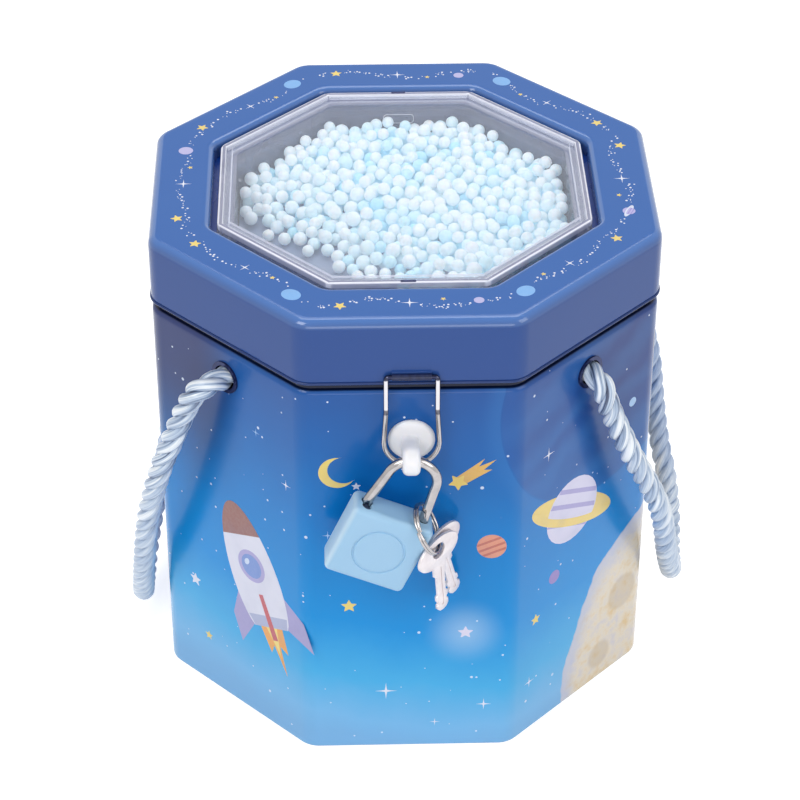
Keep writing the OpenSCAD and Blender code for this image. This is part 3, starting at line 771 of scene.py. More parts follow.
@listed
def foam_cells(mat):
    """Foam beads: each its own pale tint, more cyan deeper in the heap as painted shade, the fine cells of expanded
    foam, and a faint painted glow.
    """
    tint = mat.node("Attribute", {"attribute_name": "tint"}, None, "Fac")
    cell = mat.node("TexVoronoi", None, {"Vector": mat.point(), "Scale": 2.2}, "Distance")
    colour = tint.stops(
        (0.0, lin(243, 246, 250)), (0.5, lin(234, 245, 252)), (0.75, lin(216, 240, 252)), (1.0, lin(182, 230, 252)))
    # painted light: a faint pale cyan glow lifts the beads' shade
    return mat.surface(
        Base_Color=colour, Roughness=0.6 + 0.1 * cell, Subsurface_Weight=0.8, Subsurface_Scale=0.0022,
        Subsurface_Radius=(0.8, 1.0, 1.15), Emission_Color=(0.62, 0.88, 1.0, 1.0), Emission_Strength=0.1,
        Normal=mat.bump(cell, 0.00012, 0.35),
    )


def clear_plastic(mat, colour, body, edge):
    """Clear plastic: see-through, with a share of its own colour, and a gloss that grows towards grazing angles."""
    wave = mat.noise(0.08, 2.0, 0.5)
    normal = mat.bump(wave, 0.0002, 0.15)
    see = mat.node("BsdfTransparent", None, {"Color": (0.985, 0.99, 1.0, 1)})
    plastic = mat.surface(Base_Color=colour, Roughness=0.22 + 0.1 * wave, Normal=normal, Specular_IOR_Level=0.35)
    shine = mat.surface(
        Base_Color=(0.95, 0.97, 1.0, 1.0), Metallic=1.0, Roughness=0.04 + 0.05 * wave, Normal=normal)
    grazing = mat.node("Fresnel", None, {"IOR": 1.45})
    return mat.blend((grazing * edge).least(1.0), mat.blend(body, see, plastic), shine)


@listed
def tray_plastic(mat):
    """The bead chamber: greyish walls, darker low down as painted shade, a clear rim with bright lines on its edges as
    painted highlights, and a flange top tinted blue as a painted reflection of the lid.
    """
    z, out = mat.at()[2], mat.across()
    high = (z - 157.2).ramp(0.0, 0.5)
    wall = mat.mix(mat.noise(0.05, 3.0, 0.55) * 0.6, lin(122, 134, 166), lin(160, 164, 192))
    # painted shade: the walls darken towards the tray's floor
    wall = mat.mix((1 - (z - 141.0).ramp(0.0, 9.0)) * 0.35, wall, lin(96, 112, 150))
    # painted highlights: bright lines on the rim's edges
    lines = 1 - ((out - 54.7).abs() - 0.16).ramp(0.0, 0.22)
    for at, wide in ((53.35, 0.1), (51.6, 0.14)):
        lines = lines.most(1 - ((out - at).abs() - wide).ramp(0.0, 0.2))
    wall = mat.mix(high, wall, mat.mix(lines, lin(178, 180, 208), lin(246, 246, 255)))
    # painted reflection and shade: the flange's upper face, seen in the gap round the rim, is tinted the lid's blue
    flange = (out - 55.2).ramp(0.0, 0.3) * (mat.faces()[1] - 0.2).ramp(0.0, 0.3)
    body = (0.5 + high * (lines * 0.4 + 0.02)).most(flange * 0.9)
    return clear_plastic(mat, mat.mix(flange, wall, lin(10, 66, 158)), body, 0.5 - 0.44 * flange)


@listed
def pane_plastic(mat):
    """The clear pane, faintly scuffed, with a pale line round its raised middle as a painted highlight."""
    # painted highlight: a pale line on the step round the raised middle
    edge = (1 - ((mat.across() - 51.5).abs() - 0.12).ramp(0.0, 0.2)) * 0.6
    scuff = mat.noise(0.35, 4.0, 0.6)
    return clear_plastic(mat, lin(226, 230, 246), 0.004 + 0.008 * scuff + edge, 0.2)


@listed
def strap_tin(mat):
    """The lacquered roll that holds the hasp's wire, painted dark navy, darker than the lid, as painted shade."""
    grain = mat.noise(0.7, 3.0, 0.6)
    return varnish(mat, grain.stops((0.3, lin(16, 24, 58)), (0.7, lin(34, 46, 88))), 0.16, 0.3)


@listed
def rope_yarn(mat):
    """Satin yarn: long streaks along each strand, with painted highlights on the crowns and painted shade in the
    grooves; the streaks' contrast, a painted sheen, grows higher up.
    """
    yarn = mat.node("Attribute", {"attribute_name": "yarn"}, None, "Vector")
    cs, sn, along = mat.node("SeparateXYZ", None, {0: yarn}, XYZ)
    crown = mat.node("Attribute", {"attribute_name": "crown"}, None, "Fac")
    x, y, z = mat.at()
    # painted sheen: the streaks' contrast grows higher up the rope
    painted_shine = 0.55 + (z - 55).ramp(0.0, 60.0)
    streak = mat.noise(1.5, 2.0, 0.55, place=mat.vector(cs, sn, along * 0.03))
    fine = mat.noise(10.0, 2.0, 0.6, place=mat.vector(cs, sn, along * 0.02))
    tone = 0.32 + crown * 0.38 + (streak - 0.5) * 2.3 * painted_shine + (fine - 0.5) * 0.45
    colour = (tone * crown.ramp(0.1, 0.68, 0.0, 1.0)).stops(
        (0.0, lin(46, 60, 92)), (0.22, lin(104, 124, 156)), (0.5, colour_of("rope_blue")),
        (0.75, lin(200, 214, 230)), (1.0, lin(244, 249, 253)),
    )
    # painted shade and painted reflection of the blue box: the rope is tinted deeper blue towards the back
    colour = mat.mix((y - 8).ramp(0.0, 40.0) * 0.42, colour, lin(104, 150, 212), "MULTIPLY")
    return mat.surface(
        Base_Color=colour, Roughness=0.3 + 0.16 * fine, Sheen_Weight=0.3, Sheen_Roughness=0.3,
        Sheen_Tint=(0.9, 0.95, 1.0, 1.0), Normal=mat.bump(fine, 0.0001, 0.5),
        Specular_IOR_Level=0.8, Coat_Weight=0.4, Coat_Roughness=0.2,
    )


@listed
def floor_paper(mat):
    """Pale paper that runs out to plain white far from the box."""
    grain = mat.noise(0.02, 3.0, 0.5)
    paper = mat.surface(Base_Color=mat.mix(grain * 0.1, lin(236, 237, 240), lin(230, 231, 236)), Roughness=0.75)
    rays = mat.seen()
    dark = mat.node("Emission", None, {"Color": (0, 0, 0, 1), "Strength": 0.0})
    near = mat.node("AddShader", None, {0: paper, 1: mat.blend(rays, dark, mat.glow(0.55))})
    x, y, z = mat.at()
    far = ((x * x + y * y).sqrt() - 380).ramp(0.0, 700.0)
    return mat.blend(far * rays, near, mat.glow(1.0))


def give(name, *nodes):
    """Gives nodes of the frame their finish."""
    for node in nodes:
        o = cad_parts[node]
        for s in o.material_slots:
            s.material = made(name)
        if not o.material_slots:
            o.data.materials.append(made(name))


def keep(o, body, slot, *nodes):
    """Makes a piece ride on its body and hides what it stands for; slot is not used."""
    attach(o, body)
    if nodes:
        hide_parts(*nodes)


# ---------------------------------------------------------------- stage and camera


class OBJECT_OT_box_stage(bpy.types.Operator):
    """Makes the camera, the lamps, the pale floor and the world"""

    bl_idname = "object.box_stage"
    bl_label = "Stage, lamps and camera"

    def execute(self, context):
        scene = context.scene
        scene.view_settings.view_transform = "Standard"
        yaw, down, roll = 0.0283, 0.6228, -0.002
        ahead = Vector((sin(yaw) * cos(down), cos(yaw) * cos(down), -sin(down)))
        right = Vector((cos(yaw), -sin(yaw), 0))
        low = ahead.cross(right)
        axes = right * cos(roll) + low * sin(roll), right * sin(roll) - low * cos(roll), -ahead
        data = bpy.data.cameras.new("camera")
        data.sensor_fit = "HORIZONTAL"
        data.sensor_width = 36.0
        focal, width = 2695.4, 800  # in pixels of the render
        data.lens = focal / width * data.sensor_width
        data.clip_start = 0.01
        data.clip_end = 50
        cam = bpy.data.objects.new("camera", data)
        scene.collection.objects.link(cam)
        m = Matrix(axes).transposed().to_4x4()
        m.translation = Vector((-0.02038, -0.69293, 0.57663))
        cam.matrix_world = m
        scene.camera = cam

        world = Mat("studio", "World")
        soft = world.node("Background", None, {0: (0.93, 0.96, 1.0, 1), 1: 0.3})
        white = world.node("Background", None, {0: (1, 1, 1, 1), 1: 1.0})
        scene.world = world.finish(world.blend(world.seen(), soft, white))

        for name, at, aim, width, depth, power in (
            ("key_lamp", (-0.75, -0.75, 1.15), 0.08, 0.7, None, 8.0),
            ("fill_lamp", (0.95, -0.55, 0.75), 0.08, 0.7, None, 4.0),
            ("top_lamp", (0.05, 0.55, 1.25), 0.12, 0.9, None, 7.4),
            ("front_lamp", (0.0, -1.3, 0.35), 0.06, 0.9, 0.5, 3.1),
        ):
            d = bpy.data.lights.new(name, "AREA")
            d.energy = power
            d.size = width
            if depth:
                d.shape = "RECTANGLE"
                d.size_y = depth
            o = bpy.data.objects.new(name, d)
            scene.collection.objects.link(o)
            o.location = at
            o.rotation_euler = (Vector((0, 0, aim)) - Vector(at)).to_track_quat("-Z", "Y").to_euler()

        block("floor", (-3000, -3000, -0.4), (3000, 3000, -0.02), "floor_paper")
        return {"FINISHED"}


# ---------------------------------------------------------------- rope handles

HOLE_Z = 126  # height of the rope holes, where both routes begin and end
LEFT = [
    (-45.997, -45.997, 126), (-53, -53, 126), (-57, -57, 126.5), (-61.4, -57.8, 124),
    (-64.1, -55.8, 118), (-67, -54.2, 110.5), (-70.1, -52.4, 101.5), (-73, -50.8, 93),
    (-75.8, -48.4, 82.5), (-78.1, -45.8, 72), (-79.7, -42.8, 62), (-80.9, -39.1, 51.5),
    (-82, -34.3, 40.5), (-83, -27.8, 29.5), (-83.9, -19.9, 19.6), (-84.6, -10.4, 13),
    (-84.7, 0, 10.6), (-84.2, 10.2, 13), (-82.6, 19.5, 19.6), (-80, 27.6, 29.3), (-77.2, 34.4, 40),
    (-76, 39.6, 51), (-75.9, 43.2, 61.5), (-75.6, 46, 72), (-74.6, 48.3, 82.5), (-72.6, 50.6, 93),
    (-70, 52.4, 101.5), (-67, 54.2, 110.5), (-64.1, 55.8, 118), (-61.4, 57.8, 124), (-57, 57, 126.5),
    (-53, 53, 126), (-45.997, 45.997, 126),
]
RIGHT = [
    (45.997, -45.997, 126), (53, -53, 126), (56, -57, 124.5), (57.8, -57, 119),
    (60.4, -54.5, 111), (64, -52.8, 101.8), (67.8, -50.7, 92.5), (71.5, -49, 84.6),
    (75, -47, 76.4), (77.8, -44.5, 68), (79.8, -41.3, 58.6), (81.4, -37, 48.7),
    (83.2, -31.5, 38.8), (85.2, -24.5, 29.5), (86.9, -15.5, 21.5), (88.1, -6, 16.8),
    (89.1, 4, 16.2), (89.9, 12, 18.6), (90, 19, 23.2), (89.2, 25, 29.4),
    (87.5, 30, 36.7), (86.1, 34.8, 45.5), (85.1, 39.5, 55), (84, 43, 64.5),
    (81.6, 46.5, 74.5), (78.1, 49.5, 85), (73.5, 52.5, 96), (68.3, 55.5, 106.5),
    (63.1, 57.8, 116.5), (59.5, 58.5, 122.5), (56.5, 56.5, 125.8), (53, 53, 126), (45.997, 45.997, 126),
]


def even_path(points, step):
    """A smooth curve through the points, in even steps."""
    pts = [Vector(p) for p in points]
    pts = [pts[0] * 2 - pts[1]] + pts + [pts[-1] * 2 - pts[-2]]
    fine = []
    for i in range(1, len(pts) - 2):
        a, b, c, d = pts[i - 1:i + 3]
        for k in range(12):
            t = k / 12
            fine.append(
                0.5 * ((2 * b) + (c - a) * t + (2 * a - 5 * b + 4 * c - d) * t * t + (3 * b - a - 3 * c + d) * t ** 3)
            )
    fine.append(pts[-2])
    run = [0.0]
    for a, b in zip(fine, fine[1:]):
        run.append(run[-1] + (b - a).length)
    count = max(2, round(run[-1] / step))
    out, j = [], 0
    for i in range(count + 1):
        s = run[-1] * i / count
        while j < len(run) - 2 and run[j + 1] < s:
            j += 1
        t = (s - run[j]) / (run[j + 1] - run[j])
        out.append(fine[j].lerp(fine[j + 1], t))
    return out, run[-1]


def twisted(name, path, length, thick, lay, finish, sides=16):
    """Three strands wound round a centreline; 'yarn' holds each point's turn and place along its strand, and
    'crown' how far out of the grooves it is."""
    strand_share = 0.51
    r = thick / 2 * strand_share
    off = thick / 2 - r
    ways = frames(path)
    step = length / (len(path) - 1)
    turn = [0.0]
    for i in range(1, len(path)):
        # the lay opens where the rope is bent at its ends
        here = lay * (0.88 + 0.34 * abs(2 * i / len(path) - 1) ** 2)
        turn.append(turn[-1] + TAU * step / here)
    verts, faces, yarn, crown = [], [], [], []
    for strand in range(3):
        lines = []
        for p, t, (u, v) in zip(path, turn, ways):
            a = t + TAU * strand / 3
            lines.append(p + (u * cos(a) + v * sin(a)) * off)
        rings = rounds(lines, frames(lines, start=ways[0][0]), r, sides)
        for i, (p, ring) in enumerate(zip(path, rings)):
            for k, w in enumerate(ring):
                t = TAU * k / sides
                yarn += (cos(t), sin(t), i * step + 40 * strand)
                crown.append(min(1.0, max(0.0, ((w - p).length / (thick / 2) - 0.45) / 0.5)))
        base = len(verts)
        pts, sheet = skin(rings)
        verts += pts
        faces += [tuple(base + k for k in f) for f in sheet]
    o = solid(name, verts, faces, finish, 75)
    o.data.attributes.new("yarn", "FLOAT_VECTOR", "POINT").data.foreach_set("vector", yarn)
    o.data.attributes.new("crown", "FLOAT", "POINT").data.foreach_set("value", crown)
    return o


class OBJECT_OT_box_ropes(bpy.types.Operator):
    """Makes the two twisted rope handles and the knots inside the box"""

    bl_idname = "object.box_ropes"
    bl_label = "Rope handles"

    def execute(self, context):
        thick, lay = size("rope_thickness"), size("rope_lay")
        for name, route, node in (("rope_left", LEFT, "left_rope"), ("rope_right", RIGHT, "right_rope")):
            path, run = even_path(route, 0.6)
            o = twisted(name, path, run, thick, lay, "rope_yarn")
            keep(o, "box", "rope", node)
        knots = []
        wide, high, inside = 1.2, 1.9, 41.8
        for sx, sy in ((-1, -1), (1, -1), (-1, 1), (1, 1)):
            around = Matrix.Rotation(atan2(sy, sx), 3, "Z") @ Matrix.Rotation(pi / 2, 3, "Y")
            loop = []
            for k in range(72):
                t = TAU * k / 72
                q = Vector(((sin(t) + 2 * sin(2 * t)) * wide, (cos(t) - 2 * cos(2 * t)) * wide, -sin(3 * t) * high))
                loop.append(around @ q + Vector((inside * sx, inside * sy, HOLE_Z)))
            knots.append(tube("knot", loop, 2.35, "rope_yarn", 14, True))
        keep(merged("knots", knots), "box", "rope", "rope_knots")
        return {"FINISHED"}


# ---------------------------------------------------------------- the box

STAPLE = shift(0.4, -74.8, 119)  # the middle of the staple's foot


def body_outline():
    half, top, neck_z, t = size("body_half"), 135.9, 145.9, 0.5
    neck = half - 1.4
    return steps(
        half, 8.0, (72.6, 0.0), (73.3, 0.0), *arc(73.6, 1.2, 1.2, -90, 0, 5),
        (half, 2.4), (half, 40), (half, 90), (half, top - 3.0), *arc(half - 1.9, top - 1.9, 1.9, 0, 84, 7)[:-1],
        (neck + 0.28, top - 0.02), (neck, top + 0.15), (neck, top + 1), (neck, neck_z - 1),
        *arc(neck - 0.6, neck_z - 0.6, 0.6, 0, 180, 8), (neck - 1.2, neck_z - 1.4), (neck - t, neck_z - 1.4),
        (neck - t, top - t), (half - t - 0.8, top - 1.0), (half - t, top - 2.6), (half - t, 1.3),
        (half - 1.2, 0.5), (72.6, 0.5),
    )


class OBJECT_OT_box_body(bpy.types.Operator):
    """Makes the printed tin body with its rope holes and coin slot"""

    bl_idname = "object.box_body"
    bl_label = "Tin body"

    def execute(self, context):
        o = band8("tin_body", body_outline(), "printed_body")
        half = size("body_half")
        tools = [drill(4.5, 6, 48, spin(a, "Z"), shift(half, 0, HOLE_Z), spin(90, "Y")) for a in (45, 135, 225, 315)]
        tools.append(drill(3.1, 4, 40, STAPLE, spin(90, "X")))
        end, slot_z, slot_r = 17.6, 108, 2.4
        outline = arc(end, slot_z, slot_r, -90, 90, 12) + arc(-end, slot_z, slot_r, 90, 270, 12)
        slot = [[(x, y, z) for x, z in outline] for y in (half - 4, half + 4)]
        tools.append(solid("tool", *skin(slot), None))
        cut(o, tools, 50)
        keep(o, "box", "printed_tin", "body_shell")
        give("inner_tin", "base_plate", "staple_washer", "body_hinge_leaf")
        give("eyelet_metal", "rope_eyelets")
        give("bright_steel", "hinge_pin")
        return {"FINISHED"}


# ---------------------------------------------------------------- the lid


def lid_outline():
    lid, bottom, top, opening = size("lid_half"), 138.0, size("lid_top"), 57.0
    t, e, w = 0.5, 2.9, 2.2
    skirt = steps(
        lid, 8.0, (lid - 0.4, bottom + 0.05), *arc(lid - 0.13, bottom + 0.5, 0.48, -90, 90, 8),
        (lid, bottom + 1.15), (lid, bottom + 1.7), (lid, bottom + 9), (lid, top - e - 0.6),
        *arc(lid - e, top - e, e, 0, 90, 10), (lid - e - 0.7, top),
    )
    roll = steps(
        opening, 5.0, (opening + w + 0.7, top), *arc(opening + w, top - w, w, 90, 180, 8),
        (opening, top - 5.4), (opening + t, top - 5.4), (opening + t, top - w), (opening + t + 0.3, top - 1.2),
        (opening + w, top - t),
    )
    return skirt + roll + steps(
        lid, 8.0, (lid - e, top - t), (lid - t - 0.7, top - 1.2), (lid - t, top - e), (lid - t, bottom + 0.6))


class OBJECT_OT_box_lid(bpy.types.Operator):
    """Makes the printed tin lid with its rolled opening"""

    bl_idname = "object.box_lid"
    bl_label = "Tin lid"

    def execute(self, context):
        keep(band8("tin_lid", lid_outline(), "printed_lid"), "lid", "printed_tin", "lid_shell")
        roll = tube("hasp_roll", [(x, -75.95, 141.2) for x in (-5.2, 0.4, 6.0)], 1.05, "strap_tin", 32)
        keep(roll, "lid", "printed_tin", "hasp_strap")
        leaf = block("hasp_leaf", (-5.2, -75.28, 139.9), (6.0, -74.7, 142.5), "printed_lid", 0.12, 2)
        keep(leaf, "lid", "printed_tin")
        give("inner_tin", "lid_hinge_leaf")
        return {"FINISHED"}


class OBJECT_OT_box_window(bpy.types.Operator):
    """Makes the clear window with its rim, the tray and the heap of foam beads"""

    bl_idname = "object.box_window"
    bl_label = "Window, tray and beads"

    def execute(self, context):
        rim, top, roll, tray, floor = 55.0, size("lid_top"), 154.0, 50.0, 141.0
        wall = steps(tray, 4.0, (tray, floor - 1), (tray + 1.2, floor - 1), (tray + 1.2, roll - 1.6))
        wall += steps(61.5, 7.5, (61.5, roll - 1.6), (61.5, roll))
        wall += steps(
            rim, 4.0, (rim, roll), *arc(rim - 0.5, top - 0.7, 0.5, 0, 90, 4),
            *arc(rim - 1.2, top - 0.7, 0.5, 90, 180, 4), (rim - 1.75, top - 1.9),
        )
        wall += steps(tray, 4.0, (tray, top - 1.9))
        bottom = steps(tray, 4.0, (tray + 0.4, floor - 1), (tray + 0.4, floor))
        chamber = [band8("chamber", wall, "tray_plastic", 35), band8("bottom", bottom, "tray_plastic", 35, False)]
        keep(merged("bead_chamber", chamber), "lid", "clear_plastic", "bead_tray")

        pane = steps(
            53.2, 3.0, (50.2, top - 1.75), (53.2, top - 1.75), *arc(52.9, top - 1.05, 0.3, 0, 90, 3),
            (51.85, top - 0.75), *arc(51.2, top - 0.4, 0.35, 0, 90, 4),
        )
        keep(band8("window_lens", pane, "pane_plastic", 30, False), "lid", "clear_plastic", "window_pane")
        give("liner_sheet", "tray_liner")

        snaps = []
        for turn in (90, 270):
            snap = block("snap", (53.9, -2.2, top - 0.5), (54.7, 2.2, top + 0.03), "eyelet_metal", 0.1, 2)
            snaps.append(place(snap, spin(turn, "Z")))
        keep(merged("snap_tabs", snaps), "lid", "clear_plastic")
        ring = rounded([(-4.7, 49.9, 150.8), (4.7, 49.9, 150.8), (4.7, 49.9, 153.8), (-4.7, 49.9, 153.8)], 1.0, 5, True)
        keep(tube("latch_mark", ring, 0.12, "white_plastic", 8, True), "lid", "clear_plastic")

        settings = context.scene.money_box_sizes
        keep(self.heap(settings.seed, settings.beads), "lid", "foam", "foam_beads")
        return {"FINISHED"}

    def heap(self, seed, count):
        """Beads dropped at random that roll into the hollows between those below, heaped towards the back right."""
        rng = np.random.default_rng(seed)
        floor, wall, ceiling = 141.42, 49.6, 154.9
        P, R = np.zeros((count, 3)), np.zeros(count)
        radii, shares = (1.85, 2.0, 2.15, 2.4), (0.25, 0.3, 0.27, 0.18)
        patience, seen_depth = 500, 4.2
        used = misses = 0
        turns = np.arange(8) * TAU / 8
        ways = np.c_[np.cos(turns), np.sin(turns)]

        def lowest(xy, r):
            """The lowest height at which a bead can rest at each place."""
            a = np.abs(xy)
            inside = np.maximum(a.max(axis=1), a.sum(axis=1) / sqrt(2)) < wall - r
            z = np.where(inside, floor + r, 1e6)
            if used:
                reach = (R[:used] + r) ** 2
                d2 = (xy[:, :1] - P[:used, 0]) ** 2 + (xy[:, 1:] - P[:used, 1]) ** 2
                touch = np.where(d2 < reach, P[:used, 2] + np.sqrt(np.maximum(reach - d2, 0)), 0)
                z = np.maximum(z, touch.max(axis=1))
            return z

        def surface(x, y):
            """Height of the heap's surface."""
            s = 0.67 * (x + 20.3) + 0.74 * (y + 25.8) + 1.8 * sin(0.15 * (x - y)) + 1.2 * sin(0.37 * (x - y) + 1.0)
            return floor + (0.0 if s < 0 else 11.8 * (1 - exp(-s / 19)) + 1.6)

        while used < count and misses < patience:
            r = float(rng.choice(radii, p=shares))
            xy = rng.uniform(-wall, wall, 2)
            z = lowest(xy[None], r)[0]
            for reach in (1.8, 0.9, 0.45, 0.2, 0.08):
                for _ in range(14):
                    near = xy + reach * ways
                    zs = lowest(near, r)
                    k = int(zs.argmin())
                    if zs[k] >= z - 1e-4:
                        break
                    xy, z = near[k], zs[k]
            misses += 1
            if z + r <= min(surface(*xy), ceiling):
                P[used], R[used] = (xy[0], xy[1], z), r
                used += 1
                misses = 0
        balls = []
        for level in (2, 3):
            ball = bmesh.new()
            bmesh.ops.create_icosphere(ball, subdivisions=level, radius=1.0)
            balls.append((
                np.array([v.co[:] for v in ball.verts]), np.array([[v.index for v in f.verts] for f in ball.faces])))
            ball.free()
        verts, faces, tints, start = [], [], [], 0
        for (x, y, z), r in zip(P[:used], R[:used]):
            deep = surface(x, y) - z - r
            pts, tri = balls[1 if deep < seen_depth else 0]
            a = rng.uniform(0, TAU)
            ca, sa = cos(a), sin(a)
            q = pts * (r * rng.uniform(0.97, 1.0, 3))
            q = np.c_[q[:, 0] * ca - q[:, 1] * sa, q[:, 0] * sa + q[:, 1] * ca, q[:, 2]] * 0.995 + (x, y, z)
            faces.append(tri + start)
            verts.append(q)
            start += len(pts)
            # the tint is random for each bead, and more cyan the deeper it lies, as painted shade
            tints.append(np.full(len(pts), min(1.0, float(rng.beta(1.6, 2.6)) + 0.09 * max(deep, 0.0))))
        mesh = bpy.data.meshes.new("foam_heap")
        mesh.from_pydata((np.vstack(verts) * MM).tolist(), [], np.vstack(faces).tolist())
        mesh.polygons.foreach_set("use_smooth", [True] * len(mesh.polygons))
        mesh.attributes.new("tint", "FLOAT", "POINT").data.foreach_set("value", np.concatenate(tints).tolist())
        mesh.update()
        return new_object("foam_heap", mesh, "foam_cells")


# ---------------------------------------------------------------- printed motifs


def turned(pts, cx, cy, scale, turn):
    c, s = cos(radians(turn)), sin(radians(turn))
    return [(cx + scale * (x * c - y * s), cy + scale * (x * s + y * c)) for x, y in pts]


class Print:
    """Collects flat printed shapes that stand a few hundredths of a millimetre off a side of the box."""

    SUNK, LIFT, LAYER = 0.02, 0.018, 0.012

    def __init__(self, side, surface):
        a = radians(-90 + 45 * side)
        self.out, self.along, self.surface = (cos(a), sin(a)), (-sin(a), cos(a)), surface
        self.verts, self.faces, self.inks = [], [], []

    def shape(self, pts, ink, layer=0):
        """A closed outline, given anticlockwise or clockwise."""
        n = len(pts)
        if sum(a[0] * b[1] - b[0] * a[1] for a, b in zip(pts, pts[1:] + pts[:1])) < 0:
            pts = pts[::-1]
        rings = []
        for h in (-self.SUNK, self.LIFT + self.LAYER * layer):
            rings.append([])
            for u, v in pts:
                reach, z = self.surface(v, h)
                rings[-1].append((*(reach * o + u * t for o, t in zip(self.out, self.along)), z))
        base = len(self.verts)
        verts, faces = skin(rings)
        self.verts += verts
        self.faces += [tuple(base + k for k in f) for f in faces]
        self.inks += lin(*ink) * (2 * n)

    def star(self, cx, cy, r, ink, inner=0.45, turn=90, layer=0, soft=0.25):
        """A five-pointed star; soft is how far its points are rounded."""
        pts = []
        for i in range(10):
            a, q = radians(turn + 36 * i), (r, r * inner)[i % 2]
            pts.append(Vector((cx + q * cos(a), cy + q * sin(a))))
        curve = []
        for i, p in enumerate(pts):
            k = soft * (1, 0.5)[i % 2]
            a, b = p.lerp(pts[i - 1], k), p.lerp(pts[(i + 1) % 10], k)
            curve += [a.lerp(p, t).lerp(p.lerp(b, t), t) for t in (0, 0.33, 0.67, 1)]
        self.shape(curve if soft else pts, ink, layer)

    def stars(self, ink, *marks, soft=0.25):
        for cx, cy, r in marks:
            self.star(cx, cy, r, ink, soft=soft)

    def sparks(self, ink, *marks):
        """Four-pointed sparkles with hollow sides."""
        tips, dips = ellipse(0, 0, 1, 1, 4, 90), ellipse(0, 0, 0.16, 0.16, 4, 135)
        pts = []
        for (x, y), (u, v), (p, q) in zip(tips, dips, tips[1:] + tips[:1]):
            pts += [(x, y), (0.41 * (x + u), 0.41 * (y + v)), (u, v), (0.41 * (p + u), 0.41 * (q + v))]
        for cx, cy, r in marks:
            self.shape(turned(pts, cx, cy, r, 0), ink)

    def disc(self, cx, cy, a, ink, b=None, layer=0, n=28):
        self.shape(ellipse(cx, cy, a, b or a, n), ink, layer)

    def ringed(self, cx, cy, r, turn, ball, ring, band):
        """A banded planet with a ring round it."""
        self.shape(ellipse(cx, cy, r * 1.75, r * 0.5, 40, turn), ring)
        self.disc(cx, cy, r, ball, layer=1)
        for k in (-0.45, 0.1, 0.55):
            w = sqrt(1 - k * k)
            strip = [(-w, k - 0.06), (w, k - 0.06), (w * 0.96, k + 0.08), (-w * 0.96, k + 0.08)]
            self.shape(turned(strip, cx, cy, r * 0.98, turn), band, 2)
        front, inner = (ellipse(cx, cy, r * a, r * b, 24, turn, 180, 360) for a, b in ((1.75, 0.5), (1.3, 0.26)))
        self.shape(front + inner[::-1], ring, 3)

    def banded(self, cx, cy, r, turn, ball=(226, 150, 120), band=(196, 104, 84)):
        """A banded planet."""
        self.disc(cx, cy, r, ball)
        for k in (-0.6, -0.15, 0.35):
            w, w2 = sqrt(1 - k * k) * 0.97, sqrt(1 - (k + 0.18) ** 2) * 0.97
            self.shape(turned([(-w, k), (w, k), (w2, k + 0.18), (-w2, k + 0.18)], cx, cy, r, turn), band, 1)

    def crescent(self, cx, cy, r, turn, ink):
        moon = ellipse(0, 0, 1, 1, 28, 0, 60, 300) + ellipse(0.38, 0, 0.86, 0.86, 24, 0, 289, 71)
        self.shape(turned(moon, cx, cy, r, turn), ink)

    def comet(self, cx, cy, r, turn, ink):
        tail = [(0.3, 0.7), (4.4, 1.0), (3.2, 0.45), (5.4, 0.1), (3.4, -0.25), (4.2, -0.8), (0.3, -0.7)]
        self.shape(turned(tail, cx, cy, r, turn), (226, 176, 78))
        self.star(cx, cy, r * 1.25, ink, 0.5, turn + 20, 1)

    def rocket(self, cx, cy, scale, turn, coat, trim, glass):
        """A plump rocket with two fins, a round window and a flame."""
        turns = [TAU * i / 44 for i in range(44)]
        hull = [(sin(t) * 9.5 * (1 - 0.12 * cos(t)), max(22 * cos(t), -16.0)) for t in turns]
        nose = sorted((q for q in hull if q[1] > 11.5), key=lambda q: q[0])
        fin = [(7.2, -3), (14.5, -13), (14.8, -22), (6.6, -15.5)]
        flame = [(-4.5, -15), (4.5, -15), (3.4, -24), (1.2, -21.5), (0, -31), (-1.2, -21.5), (-3.4, -24)]
        for pts, ink, layer in (
            (flame, (244, 168, 70), 0),
            ([(-2.4, -15), (2.4, -15), (0.9, -21), (0, -25), (-0.9, -21)], (250, 222, 120), 1),
            (fin, trim, 0), ([(-x, y) for x, y in fin], trim, 0), (hull, coat, 1), (nose, (150, 96, 84), 2),
            ([(-7.8, -12.5), (7.8, -12.5), (6.6, -16.0), (-6.6, -16.0)], (178, 184, 214), 2),
            (ellipse(0, 2.5, 5.0, 5.0, 32), (176, 168, 216), 2), (ellipse(0, 2.5, 3.7, 3.7, 32), glass, 3),
            (ellipse(-1.2, 3.9, 1.2, 0.8, 16, 40), (214, 228, 250), 4),
            ([(-0.8, -6), (0.8, -6), (1.0, -20), (-1.0, -20)], (202, 86, 92), 3),
        ):
            self.shape(turned(pts, cx, cy, scale, turn), ink, layer)


def printed(name, prints):
    """One object from all the prints."""
    verts, faces = [], []
    for p in prints:
        faces += [tuple(len(verts) + k for k in f) for f in p.faces]
        verts += p.verts
    o = solid(name, verts, faces, "printed_inks", 20)
    att = o.data.color_attributes.new("ink", "FLOAT_COLOR", "POINT")
    att.data.foreach_set("color", [c for p in prints for c in p.inks])
    return o


